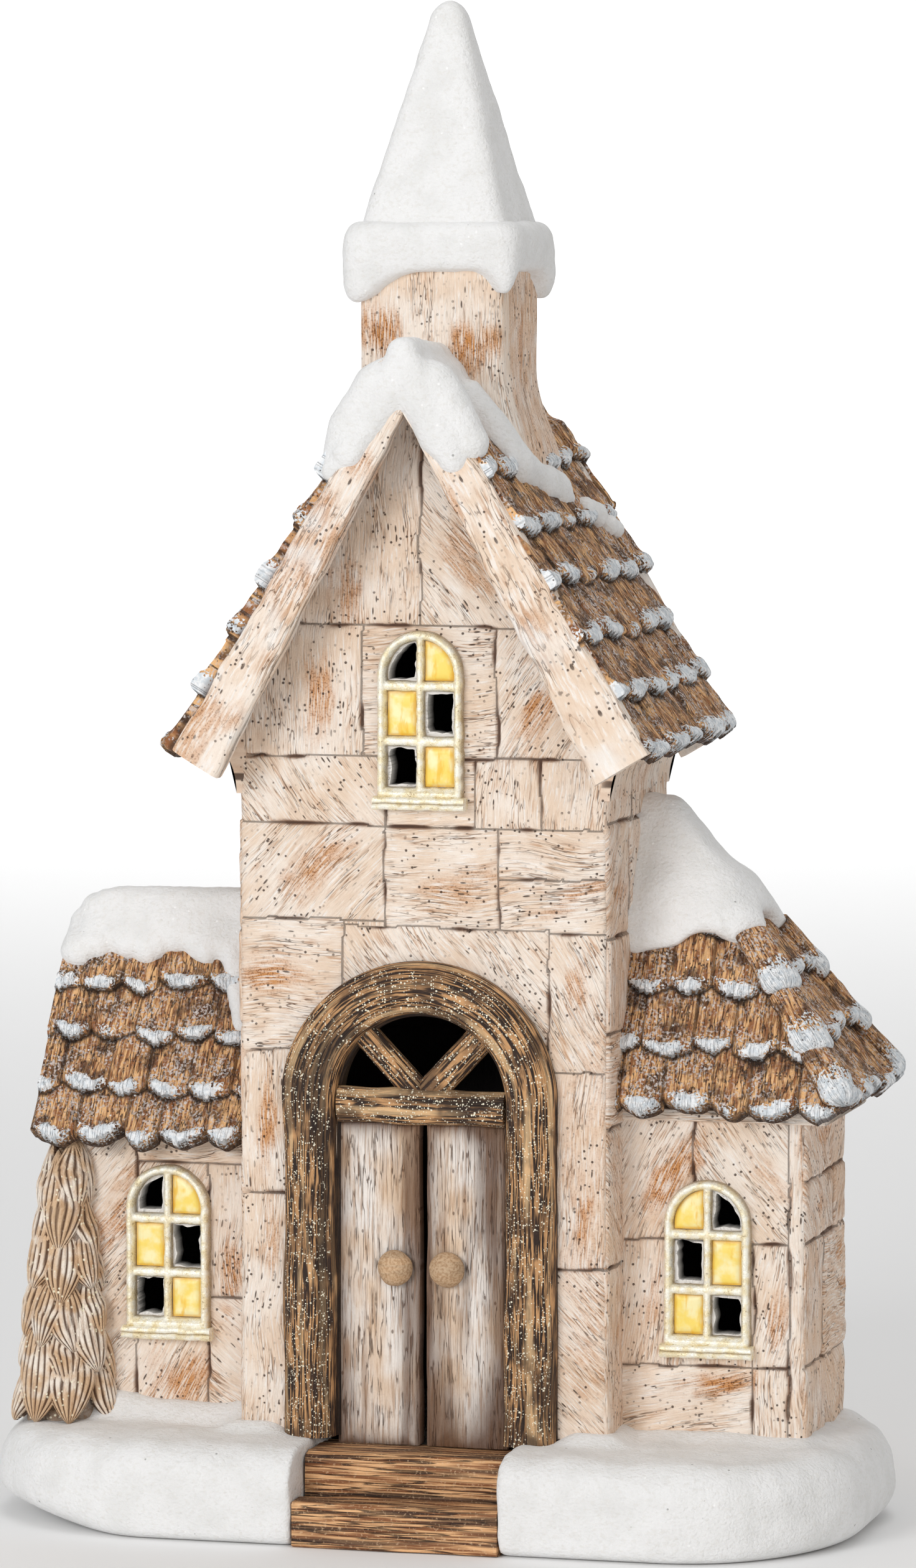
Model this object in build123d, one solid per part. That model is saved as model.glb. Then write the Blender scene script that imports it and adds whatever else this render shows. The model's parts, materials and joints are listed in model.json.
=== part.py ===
from build123d import *
from math import cos, degrees, hypot, radians, sin, tan
import os

# Ceramic village house: a gabled tower with a steeple, a gabled left wing and a hipped right wing on a
# snow-covered base, lit from inside by a battery lamp that pushes into the underside.
# Millimetres, +Z up, the front faces -Y, origin on the ground under the middle of the base.

# Clearances and construction
clay_wall = 5.0
pane_gap = 0.15
lamp_gap = 0.3
step_gap = 0.3
overrun = 2.0

# Snow base
base_length = 188.0
base_depth = 100.0
base_corner = 40.0
base_height = 20.0
base_crown = 8.0
base_tuck = 3.5

# Entry steps
step_width = 44.0
step_setback = 1.0
landing_height = 18.4
lower_step_height = 9.6
nosing = 1.0
nosing_height = 2.6
nosing_rounding = 0.9

# Tower
tower_width = 80.4
tower_depth = 54.0
passage_width = 20.0
passage_height = 42.0

# Main roof
ridge_height = 248.5
main_pitch = 59.0
roof_thickness = 4.6
eave_overhang = 10.0
gable_overhang = 14.0
bargeboard_thickness = 4.0
bargeboard_head = 5.6
bargeboard_foot = 11.0
main_course_rise = 11.4
main_courses = 6
eave_cove_drop = 18.0
eave_cove_inset = 1.0
main_shingle_width = 15.0

# Shingles
shingle_thickness = 2.8
shingle_embed = 0.4
shingle_lap = 2.0
shingle_gap = 0.7
shingle_shoulder = 3.0
shingle_point = 0.45
eave_drip = 1.2

# Left wing, a gable with its ridge along X
wing_centre = 6.5
left_wing_length = 42.0
left_wing_depth = 41.0
left_ridge_height = 127.0
left_pitch = 61.0
left_roof_thickness = 4.2
left_eave_overhang = 6.0
left_gable_overhang = 4.5
left_course_rise = 10.3
left_courses = 4

# Right wing, a hip against the tower with a short ridge
right_wing_length = 39.2
right_wing_depth = 41.0
right_eave_height = 90.0
right_apex_height = 149.0
right_ridge_length = 8.0
right_fascia = 3.0
right_roof_drop = 10.0
right_front_overhang = 6.0
right_end_overhang = 8.8
right_course_rise = 12.0
right_courses = 3
wing_shingle_width = 10.5

# Steeple
steeple_shift = -1.2
shaft_width = 30.4
shaft_top = 266.0
cap_width = 38.0
cap_bottom = 257.0
cap_top = 274.0
cap_corner = 4.0
cap_rim = 3.0
cap_arch_rise = 5.0
cap_arch_margin = 8.0
cap_socket_gap = 0.1
spire_foot = 32.8
spire_waist = 20.4
spire_waist_share = 0.435
spire_neck = 13.3
spire_neck_share = 0.696
spire_tip = 4.8
spire_softness = 0.2
total_height = 320.0

# Snow on the roofs
snow_depth = 3.4
snow_crown = 2.0
snow_lip = 1.2
ridge_snow_reach = 19.0
left_snow_edge = 118.5
right_snow_edge = 126.0
snow_wave = 1.6
snow_wave_length = 14.0
snow_rounding = 6.0
snow_top_rounding = 2.0
snow_shoulder = 0.55
snow_tail = 7.0

# Doorway
door_opening = 36.8
door_crown = 109.6
door_frame_width = 11.0
door_frame_depth = 5.0
door_frame_rounding = 2.4
transom_bottom = 86.2
transom_height = 7.4
transom_depth = 6.0
transom_proud = 2.0
transom_rounding = 1.5
fan_bar_width = 4.2
fan_bar_depth = 4.0
fan_bar_angle = 48.0
leaf_thickness = 4.0
leaf_recess = 0.6
leaf_gap = 1.6
leaf_rounding = 0.6
knob_radius = 3.4
knob_neck = 1.2
knob_neck_radius = 1.8
knob_offset = 5.6
knob_height = 56.0

# Windows
window_width = 18.4
window_height = 34.5
window_border = 2.0
window_relief = 2.2
muntin_width = 1.8
muntin_height = 2.2
sill_width = 21.4
sill_height = 2.8
sill_depth = 3.6
pane_thickness = 0.8
hole_inset = 0.5
gable_window_drop = 17.7
left_window_offset = 19.0
left_window_head = 7.2
right_window_offset = 18.2
right_window_head = 12.0

# Fir tree in relief on the left corner
tree_radius = 12.0
tree_taper = 0.55
tree_height = 57.0
tree_tiers = 5
tree_skirt = 0.55
tree_foot = 0.6
tree_widest = 0.45
tree_inset = 1.0
tree_gap = 0.2

# Lamp that pushes into the underside
socket_length = 64.0
socket_width = 41.0
socket_rim = 3.0
socket_rim_height = 4.0
lamp_recess = 1.0
housing_gap = 1.5
housing_top = 17.0
housing_wall = 1.6
housing_rounding = 2.0
bay_length = 49.0
bay_width = 34.2
bay_offset = -4.6
door_ledge = 1.2
door_thickness = 1.4
door_gap = 0.3
hinge_pin_radius = 0.6
hinge_pin_reach = 1.2
hinge_fit = 0.05
thumb_notch_radius = 2.8
battery_radius = 5.2
battery_length = 43.7
battery_edge = 0.6
battery_nub_radius = 1.9
battery_nub_length = 0.8
battery_count = 3
battery_lift = 0.3
contact_thickness = 0.5
contact_height = 8.0
board_length = 30.0
board_width = 16.0
board_thickness = 1.2
led_size = 5.0
led_hole_gap = 0.4
led_height = 1.6
lens_radius = 7.0
lens_flange = 1.4
lens_flange_height = 1.2
band_height = 4.0
band_level = 8.0
band_gap = 0.2
switch_offset = 26.4
switch_width = 3.2
switch_length = 5.6
switch_travel = 3.0
switch_gap = 0.2
switch_proud = 0.5
switch_plate = 1.0
switch_plate_margin = 1.4
switch_grip = 0.5

# Derived planes and levels
tower_front = -tower_depth / 2
tower_side = tower_width / 2
step_front = step_setback - base_depth / 2
step_tread = (tower_front - step_front) / 2
main_slope = tan(radians(main_pitch))
eave_reach = tower_side + eave_overhang
eave_height = ridge_height - eave_reach * main_slope
roof_end = tower_depth / 2 + gable_overhang
slab_end = roof_end - bargeboard_thickness
left_slope = tan(radians(left_pitch))
left_end = -tower_side - left_wing_length
left_front = wing_centre - left_wing_depth / 2
left_roof_end = left_end - left_gable_overhang
left_eave_run = left_wing_depth / 2 + left_eave_overhang
right_end = tower_side + right_wing_length
right_front = wing_centre - right_wing_depth / 2
right_roof_end = right_end + right_end_overhang
right_eave_run = right_wing_depth / 2 + right_front_overhang
door_radius = door_opening / 2
door_spring = door_crown - door_radius
transom_top = transom_bottom + transom_height
shaft_half = shaft_width / 2
flange_bottom = lamp_recess
flange_top = socket_rim_height
bay_floor = flange_bottom + door_thickness + door_gap
housing_length = socket_length - 2 * housing_gap
housing_width = socket_width - 2 * housing_gap
housing_ceiling = housing_top - housing_wall
hinge_x = bay_offset - bay_length / 2 - door_ledge + door_gap + door_thickness / 2
hinge_z = flange_bottom + door_thickness / 2

ON_GROUND = (Align.CENTER, Align.CENTER, Align.MIN)


def front_plane(y):
    """Upright plane that faces the viewer, with its own x and y along X and Z."""
    return Plane(origin=(0, y, 0), x_dir=(1, 0, 0), z_dir=(0, -1, 0))


def side_plane(x):
    """Upright plane that faces right, with its own x and y along Y and Z."""
    return Plane(origin=(x, 0, 0), x_dir=(0, 1, 0), z_dir=(1, 0, 0))


def polygon(*points):
    """Straight-edged face through the points."""
    return make_face(Polyline(*points, close=True))


def prism_y(face, front, back):
    """A face drawn in X and Z, drawn out from front to back."""
    return extrude(front_plane(back) * face, amount=back - front)


def prism_x(face, left, right):
    """A face drawn in Y and Z, drawn out from left to right."""
    return extrude(side_plane(left) * face, amount=right - left)


def block(x0, x1, y0, y1, z0, z1):
    """Box between two corners."""
    middle = Pos((x0 + x1) / 2, (y0 + y1) / 2, (z0 + z1) / 2)
    return middle * Box(x1 - x0, y1 - y0, z1 - z0)


def arch(width, height):
    """Doorway outline standing on its own x axis: straight sides under a half-round head."""
    spring = height - width / 2
    return Pos(0, spring / 2) * Rectangle(width, spring) + Pos(0, spring) * Circle(width / 2)


def main_underside(x):
    """Height of the main roof's underside at a distance from the ridge line."""
    return ridge_height - roof_thickness / cos(radians(main_pitch)) - abs(x) * main_slope


def left_underside(run):
    """Height of the left roof's underside at a distance from its ridge line."""
    return left_ridge_height - left_roof_thickness / cos(radians(left_pitch)) - abs(run) * left_slope


# Each window: centre along X, sill top, wall face and whether its upper left light is pierced
gable_window = (0.0, main_underside(tower_side) - gable_window_drop, tower_front, True)
left_window = (
    -tower_side - left_window_offset,
    left_underside(left_wing_depth / 2) - left_window_head - window_height,
    left_front,
    True,
)
right_window = (
    tower_side + right_window_offset,
    right_eave_height - right_fascia - right_window_head - window_height,
    right_front,
    False,
)


# Base and steps


def make_snow_base():
    """Thick snow drift with a crowned rim, a gap for the steps and a stepped socket for the lamp."""
    drift = extrude(RectangleRounded(base_length, base_depth, base_corner), amount=base_height)
    drift = fillet(drift.edges().group_by(Axis.Z)[-1], base_crown)
    drift = fillet(drift.edges().group_by(Axis.Z)[0], base_tuck)
    half_gap = step_width / 2 + step_gap
    gap = block(-half_gap, half_gap, -base_depth, tower_front, -overrun, base_height + overrun)
    socket = extrude(Rectangle(socket_length, socket_width), amount=base_height + overrun)
    rim = Rectangle(socket_length + 2 * socket_rim, socket_width + 2 * socket_rim)
    rim = Pos(0, 0, -overrun) * extrude(rim, amount=socket_rim_height + overrun)
    return drift - gap - socket - rim


def make_step(front, back, height):
    """One tread with a rounded nosing over its riser."""
    profile = polygon(
        (front + nosing, 0),
        (front + nosing, height - nosing_height),
        (front, height - nosing_height),
        (front, height),
        (back, height),
        (back, 0),
    )
    step = prism_x(profile, -step_width / 2, step_width / 2)
    nose = step.edges().filter_by(Axis.X).group_by(Axis.Y)[0]
    return fillet(nose, nosing_rounding)


# Walls


def window_lights():
    """The six lights of a window, between its border and its bars."""
    field = arch(window_width - 2 * window_border, window_height - 2 * window_border)
    field = Pos(0, window_border) * field
    row = (window_height - window_width / 2 - window_border - muntin_height) / 2
    bars = Pos(0, window_height / 2) * Rectangle(muntin_width, window_height)
    for level in (window_border + row, window_border + 2 * row + muntin_height):
        bars += Pos(0, level + muntin_height / 2) * Rectangle(window_width, muntin_height)
    return (field - bars).faces()


def split_lights(upper_left_pierced):
    """Pierced and glazed lights, alternating like a chessboard."""
    rows = window_lights().group_by(Axis.Y)
    pierced, glazed = [], []
    for level, row in enumerate(reversed(rows)):
        for side, light in enumerate(row.sort_by(Axis.X)):
            is_pierced = (level + side) % 2 == (0 if upper_left_pierced else 1)
            (pierced if is_pierced else glazed).append(light)
    return pierced, glazed


def window_piercings(window):
    """Cutters for the lights that are open right through the wall."""
    x, sill, face, upper_left_pierced = window
    pierced, _ = split_lights(upper_left_pierced)
    cutters = [Pos(x, sill) * offset(light, amount=-hole_inset) for light in pierced]
    return [prism_y(cutter, face - overrun, face + clay_wall + overrun) for cutter in cutters]


def make_tower_walls():
    """Four walls with front and rear gables, open below and under the roof."""
    shoulder = main_underside(tower_side)
    outline = polygon(
        (-tower_side, base_height),
        (tower_side, base_height),
        (tower_side, shoulder),
        (0, main_underside(0)),
        (-tower_side, shoulder),
    )
    walls = prism_y(outline, tower_front, -tower_front)
    room_x, room_y = tower_side - clay_wall, tower_depth / 2 - clay_wall
    walls -= block(-room_x, room_x, -room_y, room_y, base_height - overrun, ridge_height)
    doorway = Pos(0, base_height) * arch(door_opening, door_crown - base_height)
    walls -= prism_y(doorway, tower_front - overrun, tower_front + clay_wall + overrun)
    passage = Pos(wing_centre, base_height) * arch(passage_width, passage_height)
    walls -= prism_x(passage, -tower_side - overrun, tower_side + overrun)
    return walls - window_piercings(gable_window)


def make_left_wing_walls():
    """Front, end and rear walls under the gabled left roof, open towards the tower."""
    half = left_wing_depth / 2
    outline = polygon(
        (wing_centre - half, base_height),
        (wing_centre + half, base_height),
        (wing_centre + half, left_underside(half)),
        (wing_centre, left_underside(0)),
        (wing_centre - half, left_underside(half)),
    )
    walls = prism_x(outline, left_end, -tower_side)
    room = half - clay_wall
    walls -= block(
        left_end + clay_wall,
        -tower_side + overrun,
        wing_centre - room,
        wing_centre + room,
        base_height - overrun,
        left_ridge_height,
    )
    return walls - window_piercings(left_window)


def make_right_wing_walls():
    """Front, end and rear walls of the right wing, open towards the tower."""
    half = right_wing_depth / 2
    top = right_eave_height - right_fascia
    walls = block(tower_side, right_end, wing_centre - half, wing_centre + half, base_height, top)
    room = half - clay_wall
    walls -= block(
        tower_side - overrun,
        right_end - clay_wall,
        wing_centre - room,
        wing_centre + room,
        base_height - overrun,
        top + overrun,
    )
    return walls - window_piercings(right_window)


# Roofs


def shingle(width, length):
    """Hand-cut shingle, flat, with its clipped tip at the origin and its head along y."""
    tip = width * shingle_point / 2
    shoulder = min(shingle_shoulder, width / 2)
    outline = polygon(
        (-width / 2, shoulder),
        (-tip, 0),
        (tip, 0),
        (width / 2, shoulder),
        (width / 2, length),
        (-width / 2, length),
    )
    return extrude(outline, amount=shingle_thickness)


def lay_shingles(slope, edges, exposure, courses, spacing):
    """Courses of tilted shingles up a slope, with broken joints; edges gives a course's two ends."""
    laid = []
    length = exposure + shingle_lap
    tilt = (shingle_thickness - shingle_embed) / length
    for course in range(courses):
        rise = course * exposure - eave_drip
        left, right = edges(rise + exposure)
        count = max(1, round((right - left) / spacing))
        pitch = (right - left) / count
        if course % 2:
            inner = [left + pitch * (i + 0.5) for i in range(count)]
            joints = [left, *inner, right]
        else:
            joints = [left + pitch * i for i in range(count + 1)]
        for start, end in zip(joints, joints[1:]):
            seat = Pos((start + end) / 2, rise, -shingle_embed) * Rot(X=-degrees(tilt))
            laid.append(slope * seat * shingle(end - start - shingle_gap, length))
    return laid


def make_eave_cove(side):
    """Hollow-curved fillet of clay between a main eave and the tower's flank, bonded into the roof."""
    lip = eave_reach - roof_thickness * sin(radians(main_pitch)) - eave_cove_inset
    lip_height, head = main_underside(lip), main_underside(tower_side)
    foot = head - eave_cove_drop
    bond = roof_thickness / 2
    curve = TangentArc((side * tower_side, foot), (side * lip, lip_height), tangent=(0, 1))
    sides = Polyline(
        (side * tower_side, foot),
        (side * tower_side, head + bond),
        (side * lip, lip_height + bond),
        (side * lip, lip_height),
    )
    return prism_y(make_face([curve, sides]), tower_front, -tower_front)


def make_main_roof(side):
    """One slope of the main roof; side is 1 on the right and -1 on the left."""
    angle = radians(main_pitch)
    drop = roof_thickness / cos(angle)
    slab = polygon(
        (0, ridge_height),
        (side * eave_reach, eave_height),
        (side * (eave_reach - roof_thickness * sin(angle)), eave_height - roof_thickness * cos(angle)),
        (0, ridge_height - drop),
    )
    slope = Plane(
        origin=(side * eave_reach, 0, eave_height),
        x_dir=(0, side, 0),
        z_dir=(side * sin(angle), 0, cos(angle)),
    )
    tiles = lay_shingles(
        slope,
        lambda rise: (-slab_end, slab_end),
        main_course_rise / sin(angle),
        main_courses,
        main_shingle_width,
    )
    return prism_y(slab, -slab_end, slab_end) + make_eave_cove(side) + tiles


def make_bargeboard(side, front, back):
    """Tapered gable board that closes one end of a main roof slope."""
    angle = radians(main_pitch)
    foot = (eave_reach - bargeboard_foot * sin(angle), eave_height - bargeboard_foot * cos(angle))
    face = polygon(
        (0, ridge_height),
        (side * eave_reach, eave_height),
        (side * foot[0], foot[1]),
        (0, ridge_height - bargeboard_head / cos(angle)),
    )
    return prism_y(face, front, back)


def make_left_roof(side):
    """One slope of the left wing's roof; side is -1 at the front and 1 at the rear."""
    angle = radians(left_pitch)
    eave = left_ridge_height - left_eave_run * left_slope
    tuck = left_eave_run - left_roof_thickness * sin(angle)
    slab = polygon(
        (wing_centre, left_ridge_height),
        (wing_centre + side * left_eave_run, eave),
        (wing_centre + side * tuck, eave - left_roof_thickness * cos(angle)),
        (wing_centre, left_ridge_height - left_roof_thickness / cos(angle)),
    )
    half = (-tower_side - left_roof_end) / 2
    slope = Plane(
        origin=(left_roof_end + half, wing_centre + side * left_eave_run, eave),
        x_dir=(-side, 0, 0),
        z_dir=(0, side * sin(angle), cos(angle)),
    )
    tiles = lay_shingles(
        slope,
        lambda rise: (-half, half),
        left_course_rise / sin(angle),
        left_courses,
        wing_shingle_width,
    )
    return prism_x(slab, left_roof_end, -tower_side) + tiles


def half_hip(left, right, half_depth, bottom, top):
    """Hip with a short ridge that runs from the middle of its upright left side."""
    front, back = wing_centre - half_depth, wing_centre + half_depth
    corners = [(left, front, bottom), (right, front, bottom), (right, back, bottom), (left, back, bottom)]
    root = (left, wing_centre, top)
    apex = (left + right_ridge_length, wing_centre, top)
    outlines = (
        (corners[0], corners[1], apex, root),
        (corners[1], corners[2], apex),
        (corners[2], corners[3], root, apex),
        (corners[3], corners[0], root),
        corners,
    )
    return Part() + Solid(Shell([Face(Wire.make_polygon(outline)) for outline in outlines]))


def right_roof_form():
    """The right roof's plain outer form, solid."""
    return half_hip(tower_side, right_roof_end, right_eave_run, right_eave_height, right_apex_height)


def make_right_roof():
    """Half-hipped roof with a square fascia, hollow above the room."""
    roof = right_roof_form() + block(
        tower_side,
        right_roof_end,
        wing_centre - right_eave_run,
        wing_centre + right_eave_run,
        right_eave_height - right_fascia,
        right_eave_height,
    )
    rise = right_apex_height - right_eave_height
    length = right_roof_end - tower_side
    end_run = length - right_ridge_length
    flank_slope = hypot(rise, right_eave_run)
    end_slope = hypot(rise, end_run)
    tiles = []
    middle = tower_side + length / 2
    for side in (-1, 1):
        flank = Plane(
            origin=(middle, wing_centre + side * right_eave_run, right_eave_height),
            x_dir=(-side, 0, 0),
            z_dir=(0, side * rise, right_eave_run),
        )

        def flank_edges(climb, side=side):
            hip = length / 2 - end_run * climb / flank_slope
            return (-length / 2, hip) if side < 0 else (-hip, length / 2)

        tiles += lay_shingles(
            flank, flank_edges, right_course_rise * flank_slope / rise, right_courses, wing_shingle_width
        )
    end = Plane(
        origin=(right_roof_end, wing_centre, right_eave_height), x_dir=(0, 1, 0), z_dir=(rise, 0, end_run)
    )

    def end_edges(climb):
        half = right_eave_run * (1 - climb / end_slope)
        return -half, half

    tiles += lay_shingles(
        end, end_edges, right_course_rise * end_slope / rise, right_courses, wing_shingle_width
    )
    roof += tiles
    roof -= block(-overrun, tower_side, -base_depth, base_depth, 0, ridge_height)
    room = right_wing_depth / 2 - clay_wall
    ceiling = half_hip(
        tower_side,
        right_end - clay_wall,
        room,
        right_eave_height - right_fascia,
        right_apex_height - right_roof_drop,
    )
    return roof - ceiling


# Snow on the roofs


def snow_saddle(slope, reach, ridge):
    """Section of snow over a ridge: thin lower edges, thick slopes and a round crown."""
    depth = snow_depth * hypot(1, slope)
    foot = ridge - reach * slope
    shoulder = reach * snow_shoulder
    heap = polygon(
        (-reach, foot),
        (-shoulder, ridge - shoulder * slope + depth),
        (0, ridge + depth),
        (shoulder, ridge - shoulder * slope + depth),
        (reach, foot),
        (0, ridge),
    )
    crown = heap.vertices().sort_by(Axis.Y)[-1]
    return fillet(crown, (depth - snow_crown) / (hypot(1, slope) - 1))


def wavy_cut(level, start, end):
    """Region below a wavy line, to trim the lower edge of roof snow."""
    count = max(2, round((end - start) / snow_wave_length)) * 2
    step = (end - start) / count
    line = Spline(*[(start + step * i, level + snow_wave * (-1) ** i) for i in range(count + 1)])
    sides = Polyline((end, level + snow_wave), (end, 0), (start, 0), (start, level + snow_wave))
    return make_face([line, sides])


def make_ridge_snow(side, covered):
    """Snow over the main ridge from one gable to beside the steeple; side is -1 at the front."""
    near, far = sorted((0, side * (roof_end + snow_lip)))
    saddle = prism_y(snow_saddle(main_slope, ridge_snow_reach, ridge_height), near, far)
    return saddle - covered


def make_left_snow(roofs):
    """Snow over the left wing's ridge, with a wavy lower edge."""
    reach = (left_ridge_height - left_snow_edge + snow_tail) / left_slope
    saddle = Pos(wing_centre, 0) * snow_saddle(left_slope, reach, left_ridge_height)
    snow = prism_x(saddle, left_roof_end - snow_lip, -tower_side)
    wave = wavy_cut(left_snow_edge, left_roof_end - 2 * overrun, -tower_side + overrun)
    return snow - prism_y(wave, -base_depth, base_depth) - roofs


def make_right_snow(roof):
    """Snow over the top of the right roof, rounded over both hips, with a wavy lower edge."""
    rise = right_apex_height - right_eave_height
    end_run = right_roof_end - tower_side - right_ridge_length
    levels = (
        (right_snow_edge - snow_tail, snow_rounding),
        (right_apex_height + snow_crown, snow_top_rounding),
    )
    sections = []
    for level, rounding in levels:
        share = max(0.0, 1 - (level - right_eave_height) / rise)
        reach = right_ridge_length + end_run * share + snow_depth * hypot(rise, end_run) / rise
        half = right_eave_run * share + snow_depth * hypot(rise, right_eave_run) / rise
        outline = Rectangle(2 * reach, 2 * half)
        outline = chamfer(outline.vertices(), rounding)
        sections.append(Pos(tower_side, wing_centre, level) * outline)
    heap = loft(sections, ruled=True)
    heap -= block(-base_length, tower_side, -base_depth, base_depth, 0, total_height)
    wave = wavy_cut(right_snow_edge, tower_side - overrun, right_roof_end + overrun)
    heap -= prism_y(wave, -base_depth, base_depth)
    return heap - roof - right_roof_form()


# Steeple


def make_steeple_shaft(roofs):
    """Square shaft saddled on the main ridge."""
    foot = ridge_height - (shaft_half + abs(steeple_shift)) * main_slope
    shaft = block(
        steeple_shift - shaft_half,
        steeple_shift + shaft_half,
        -shaft_half,
        shaft_half,
        foot - overrun,
        shaft_top,
    )
    wedge = polygon(
        (0, ridge_height),
        (shaft_width, ridge_height - shaft_width * main_slope),
        (-shaft_width, ridge_height - shaft_width * main_slope),
    )
    return shaft - prism_y(wedge, -shaft_width, shaft_width) - roofs


def make_spire_cap():
    """Snow-laden eave of the spire, a square cap with sagging corners, socketed on the shaft."""
    at_axis = Pos(steeple_shift, 0, 0)
    cap = extrude(RectangleRounded(cap_width, cap_width, cap_corner), amount=cap_top - cap_bottom)
    cap = fillet(cap.edges().group_by(Axis.Z)[-1], cap_rim)
    cap = Pos(0, 0, cap_bottom) * cap
    socket = shaft_width + 2 * cap_socket_gap
    cap -= block(-socket / 2, socket / 2, -socket / 2, socket / 2, cap_bottom - overrun, shaft_top)
    sag = Pos(0, cap_bottom) * Ellipse(cap_width / 2 - cap_arch_margin, cap_arch_rise)
    cap -= prism_y(sag, -cap_width, cap_width)
    cap -= prism_x(sag, -cap_width, cap_width)
    return at_axis * cap


def make_spire():
    """Steep snow-covered spire with softened corners and a blunt tip."""
    rise = total_height - cap_top
    stations = (
        (spire_foot, cap_top),
        (spire_waist, cap_top + rise * spire_waist_share),
        (spire_neck, cap_top + rise * spire_neck_share),
        (spire_tip, total_height - spire_tip / 2),
    )
    sections = []
    for width, level in stations:
        square = Rectangle(width, width)
        outline = chamfer(square.vertices(), width * spire_softness)
        sections.append(Pos(steeple_shift, 0, level) * outline)
    spire = loft(sections, ruled=True)
    dome = Pos(steeple_shift, 0, total_height - spire_tip / 2) * Sphere(spire_tip / 2)
    return spire + dome


# Doorway


def make_door_frame():
    """Rounded arched surround that stands proud of the tower front."""
    outer_width = door_opening + 2 * door_frame_width
    outer = arch(outer_width, door_crown + door_frame_width - base_height)
    ring = Pos(0, base_height) * (outer - arch(door_opening, door_crown - base_height))
    frame = prism_y(ring, tower_front - door_frame_depth, tower_front)
    front_edges = frame.edges().group_by(Axis.Y)[0]
    foot_edges = front_edges.filter_by(Axis.X)
    return fillet(front_edges - foot_edges, door_frame_rounding)


def doorway_slice(bottom, top):
    """Part of the doorway's outline between two levels."""
    band = Pos(0, (bottom + top) / 2) * Rectangle(2 * door_opening, top - bottom)
    return (Pos(0, base_height) * arch(door_opening, door_crown - base_height)) & band


def make_transom():
    """Round-nosed bar across the doorway under the fanlight."""
    front = tower_front - transom_proud
    bar = prism_y(doorway_slice(transom_bottom, transom_top), front, front + transom_depth)
    nose = bar.edges().filter_by(Axis.X).group_by(Axis.Y)[0]
    return fillet(nose, transom_rounding)


def make_fan_bars():
    """Two bars that rise from the middle of the transom and split the fanlight in three."""
    bars = None
    for turn in (-fan_bar_angle, fan_bar_angle):
        bar = Pos(0, door_radius) * Rectangle(fan_bar_width, 2 * door_radius)
        bar = Pos(0, transom_top) * Rot(Z=turn) * bar
        bars = bar if bars is None else bars + bar
    bars = bars & doorway_slice(transom_top, door_crown)
    return prism_y(bars, tower_front, tower_front + fan_bar_depth)


def make_door_leaf(side):
    """One plain leaf of the double door; side is -1 on the left."""
    inner, outer = sorted((side * leaf_gap / 2, side * door_radius))
    front = tower_front + leaf_recess
    leaf = block(inner, outer, front, front + leaf_thickness, base_height, transom_bottom)
    upright = leaf.edges().filter_by(Axis.Z).group_by(Axis.Y)[0]
    return fillet(upright, leaf_rounding)


def make_knob(side):
    """Domed knob on a short neck, on the inner edge of a leaf."""
    neck = Cylinder(knob_neck_radius, knob_neck, align=ON_GROUND)
    dome = Pos(0, 0, knob_neck) * Sphere(knob_radius, 0, 90, align=ON_GROUND)
    return front_plane(tower_front + leaf_recess) * Pos(side * knob_offset, knob_height) * (neck + dome)


# Windows


def make_window_frame(window):
    """Arched frame with bars and a sill, standing on the wall face."""
    x, sill, face, upper_left_pierced = window
    pierced, glazed = split_lights(upper_left_pierced)
    outline = arch(window_width, window_height)
    for light in [*pierced, *glazed]:
        outline -= light
    frame = prism_y(Pos(x, sill) * outline, face - window_relief, face)
    return frame + block(
        x - sill_width / 2, x + sill_width / 2, face - sill_depth, face, sill - sill_height, sill
    )


def make_window_panes(window):
    """Painted panes that fill the lights which are not pierced."""
    x, sill, face, upper_left_pierced = window
    _, glazed = split_lights(upper_left_pierced)
    faces = [Pos(x, sill) * offset(light, amount=-pane_gap) for light in glazed]
    return Compound(children=[prism_y(pane, face - pane_thickness, face).solid() for pane in faces])


# Fir tree


def make_fir_tree(neighbours):
    """Tiered conical fir that wraps the left wing's front corner."""
    tier = tree_height / tree_tiers
    profile = [(0, 0), (tree_radius * tree_foot, 0)]
    for i in range(tree_tiers):
        radius = tree_radius * (1 - tree_taper * i / tree_tiers)
        profile += [(radius, tier * (i + tree_widest)), (radius * tree_skirt, tier * (i + 1))]
    profile[-1] = (0, tree_height)
    tree = revolve(Plane.XZ * polygon(*profile), axis=Axis.Z)
    tree = Pos(left_end + tree_inset, left_front - tree_inset, base_height) * tree
    corner = block(
        left_end - tree_gap,
        -tower_side,
        left_front - tree_gap,
        left_front + left_wing_depth,
        0,
        left_ridge_height,
    )
    return tree - corner - neighbours


# Lamp in the underside


def make_lamp_housing():
    """Flanged tray with a battery bay open below, a switch slot and a hole for the light source."""
    flange_length = socket_length + 2 * socket_rim - 2 * lamp_gap
    flange_width = socket_width + 2 * socket_rim - 2 * lamp_gap
    flange = RectangleRounded(flange_length, flange_width, housing_rounding)
    body = RectangleRounded(housing_length, housing_width, housing_rounding)
    housing = Pos(0, 0, flange_bottom) * extrude(flange, flange_top - flange_bottom)
    housing += Pos(0, 0, flange_top) * extrude(body, housing_top - flange_top)
    bay = Box(bay_length, bay_width, housing_ceiling, align=ON_GROUND)
    housing -= Pos(bay_offset, 0, 0) * bay
    housing -= extrude(door_outline(0), bay_floor)
    housing -= hinge_pins(hinge_fit)
    notch_x = bay_offset + bay_length / 2 + door_ledge
    notch = Cylinder(thumb_notch_radius, door_thickness, align=(Align.MIN, Align.CENTER, Align.MIN))
    housing -= Pos(notch_x - thumb_notch_radius, 0, flange_bottom) * notch
    housing -= switch_cavity()
    return housing - Pos(0, 0, housing_top) * Box(
        led_size + 2 * led_hole_gap, led_size + 2 * led_hole_gap, 3 * housing_wall
    )


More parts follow.
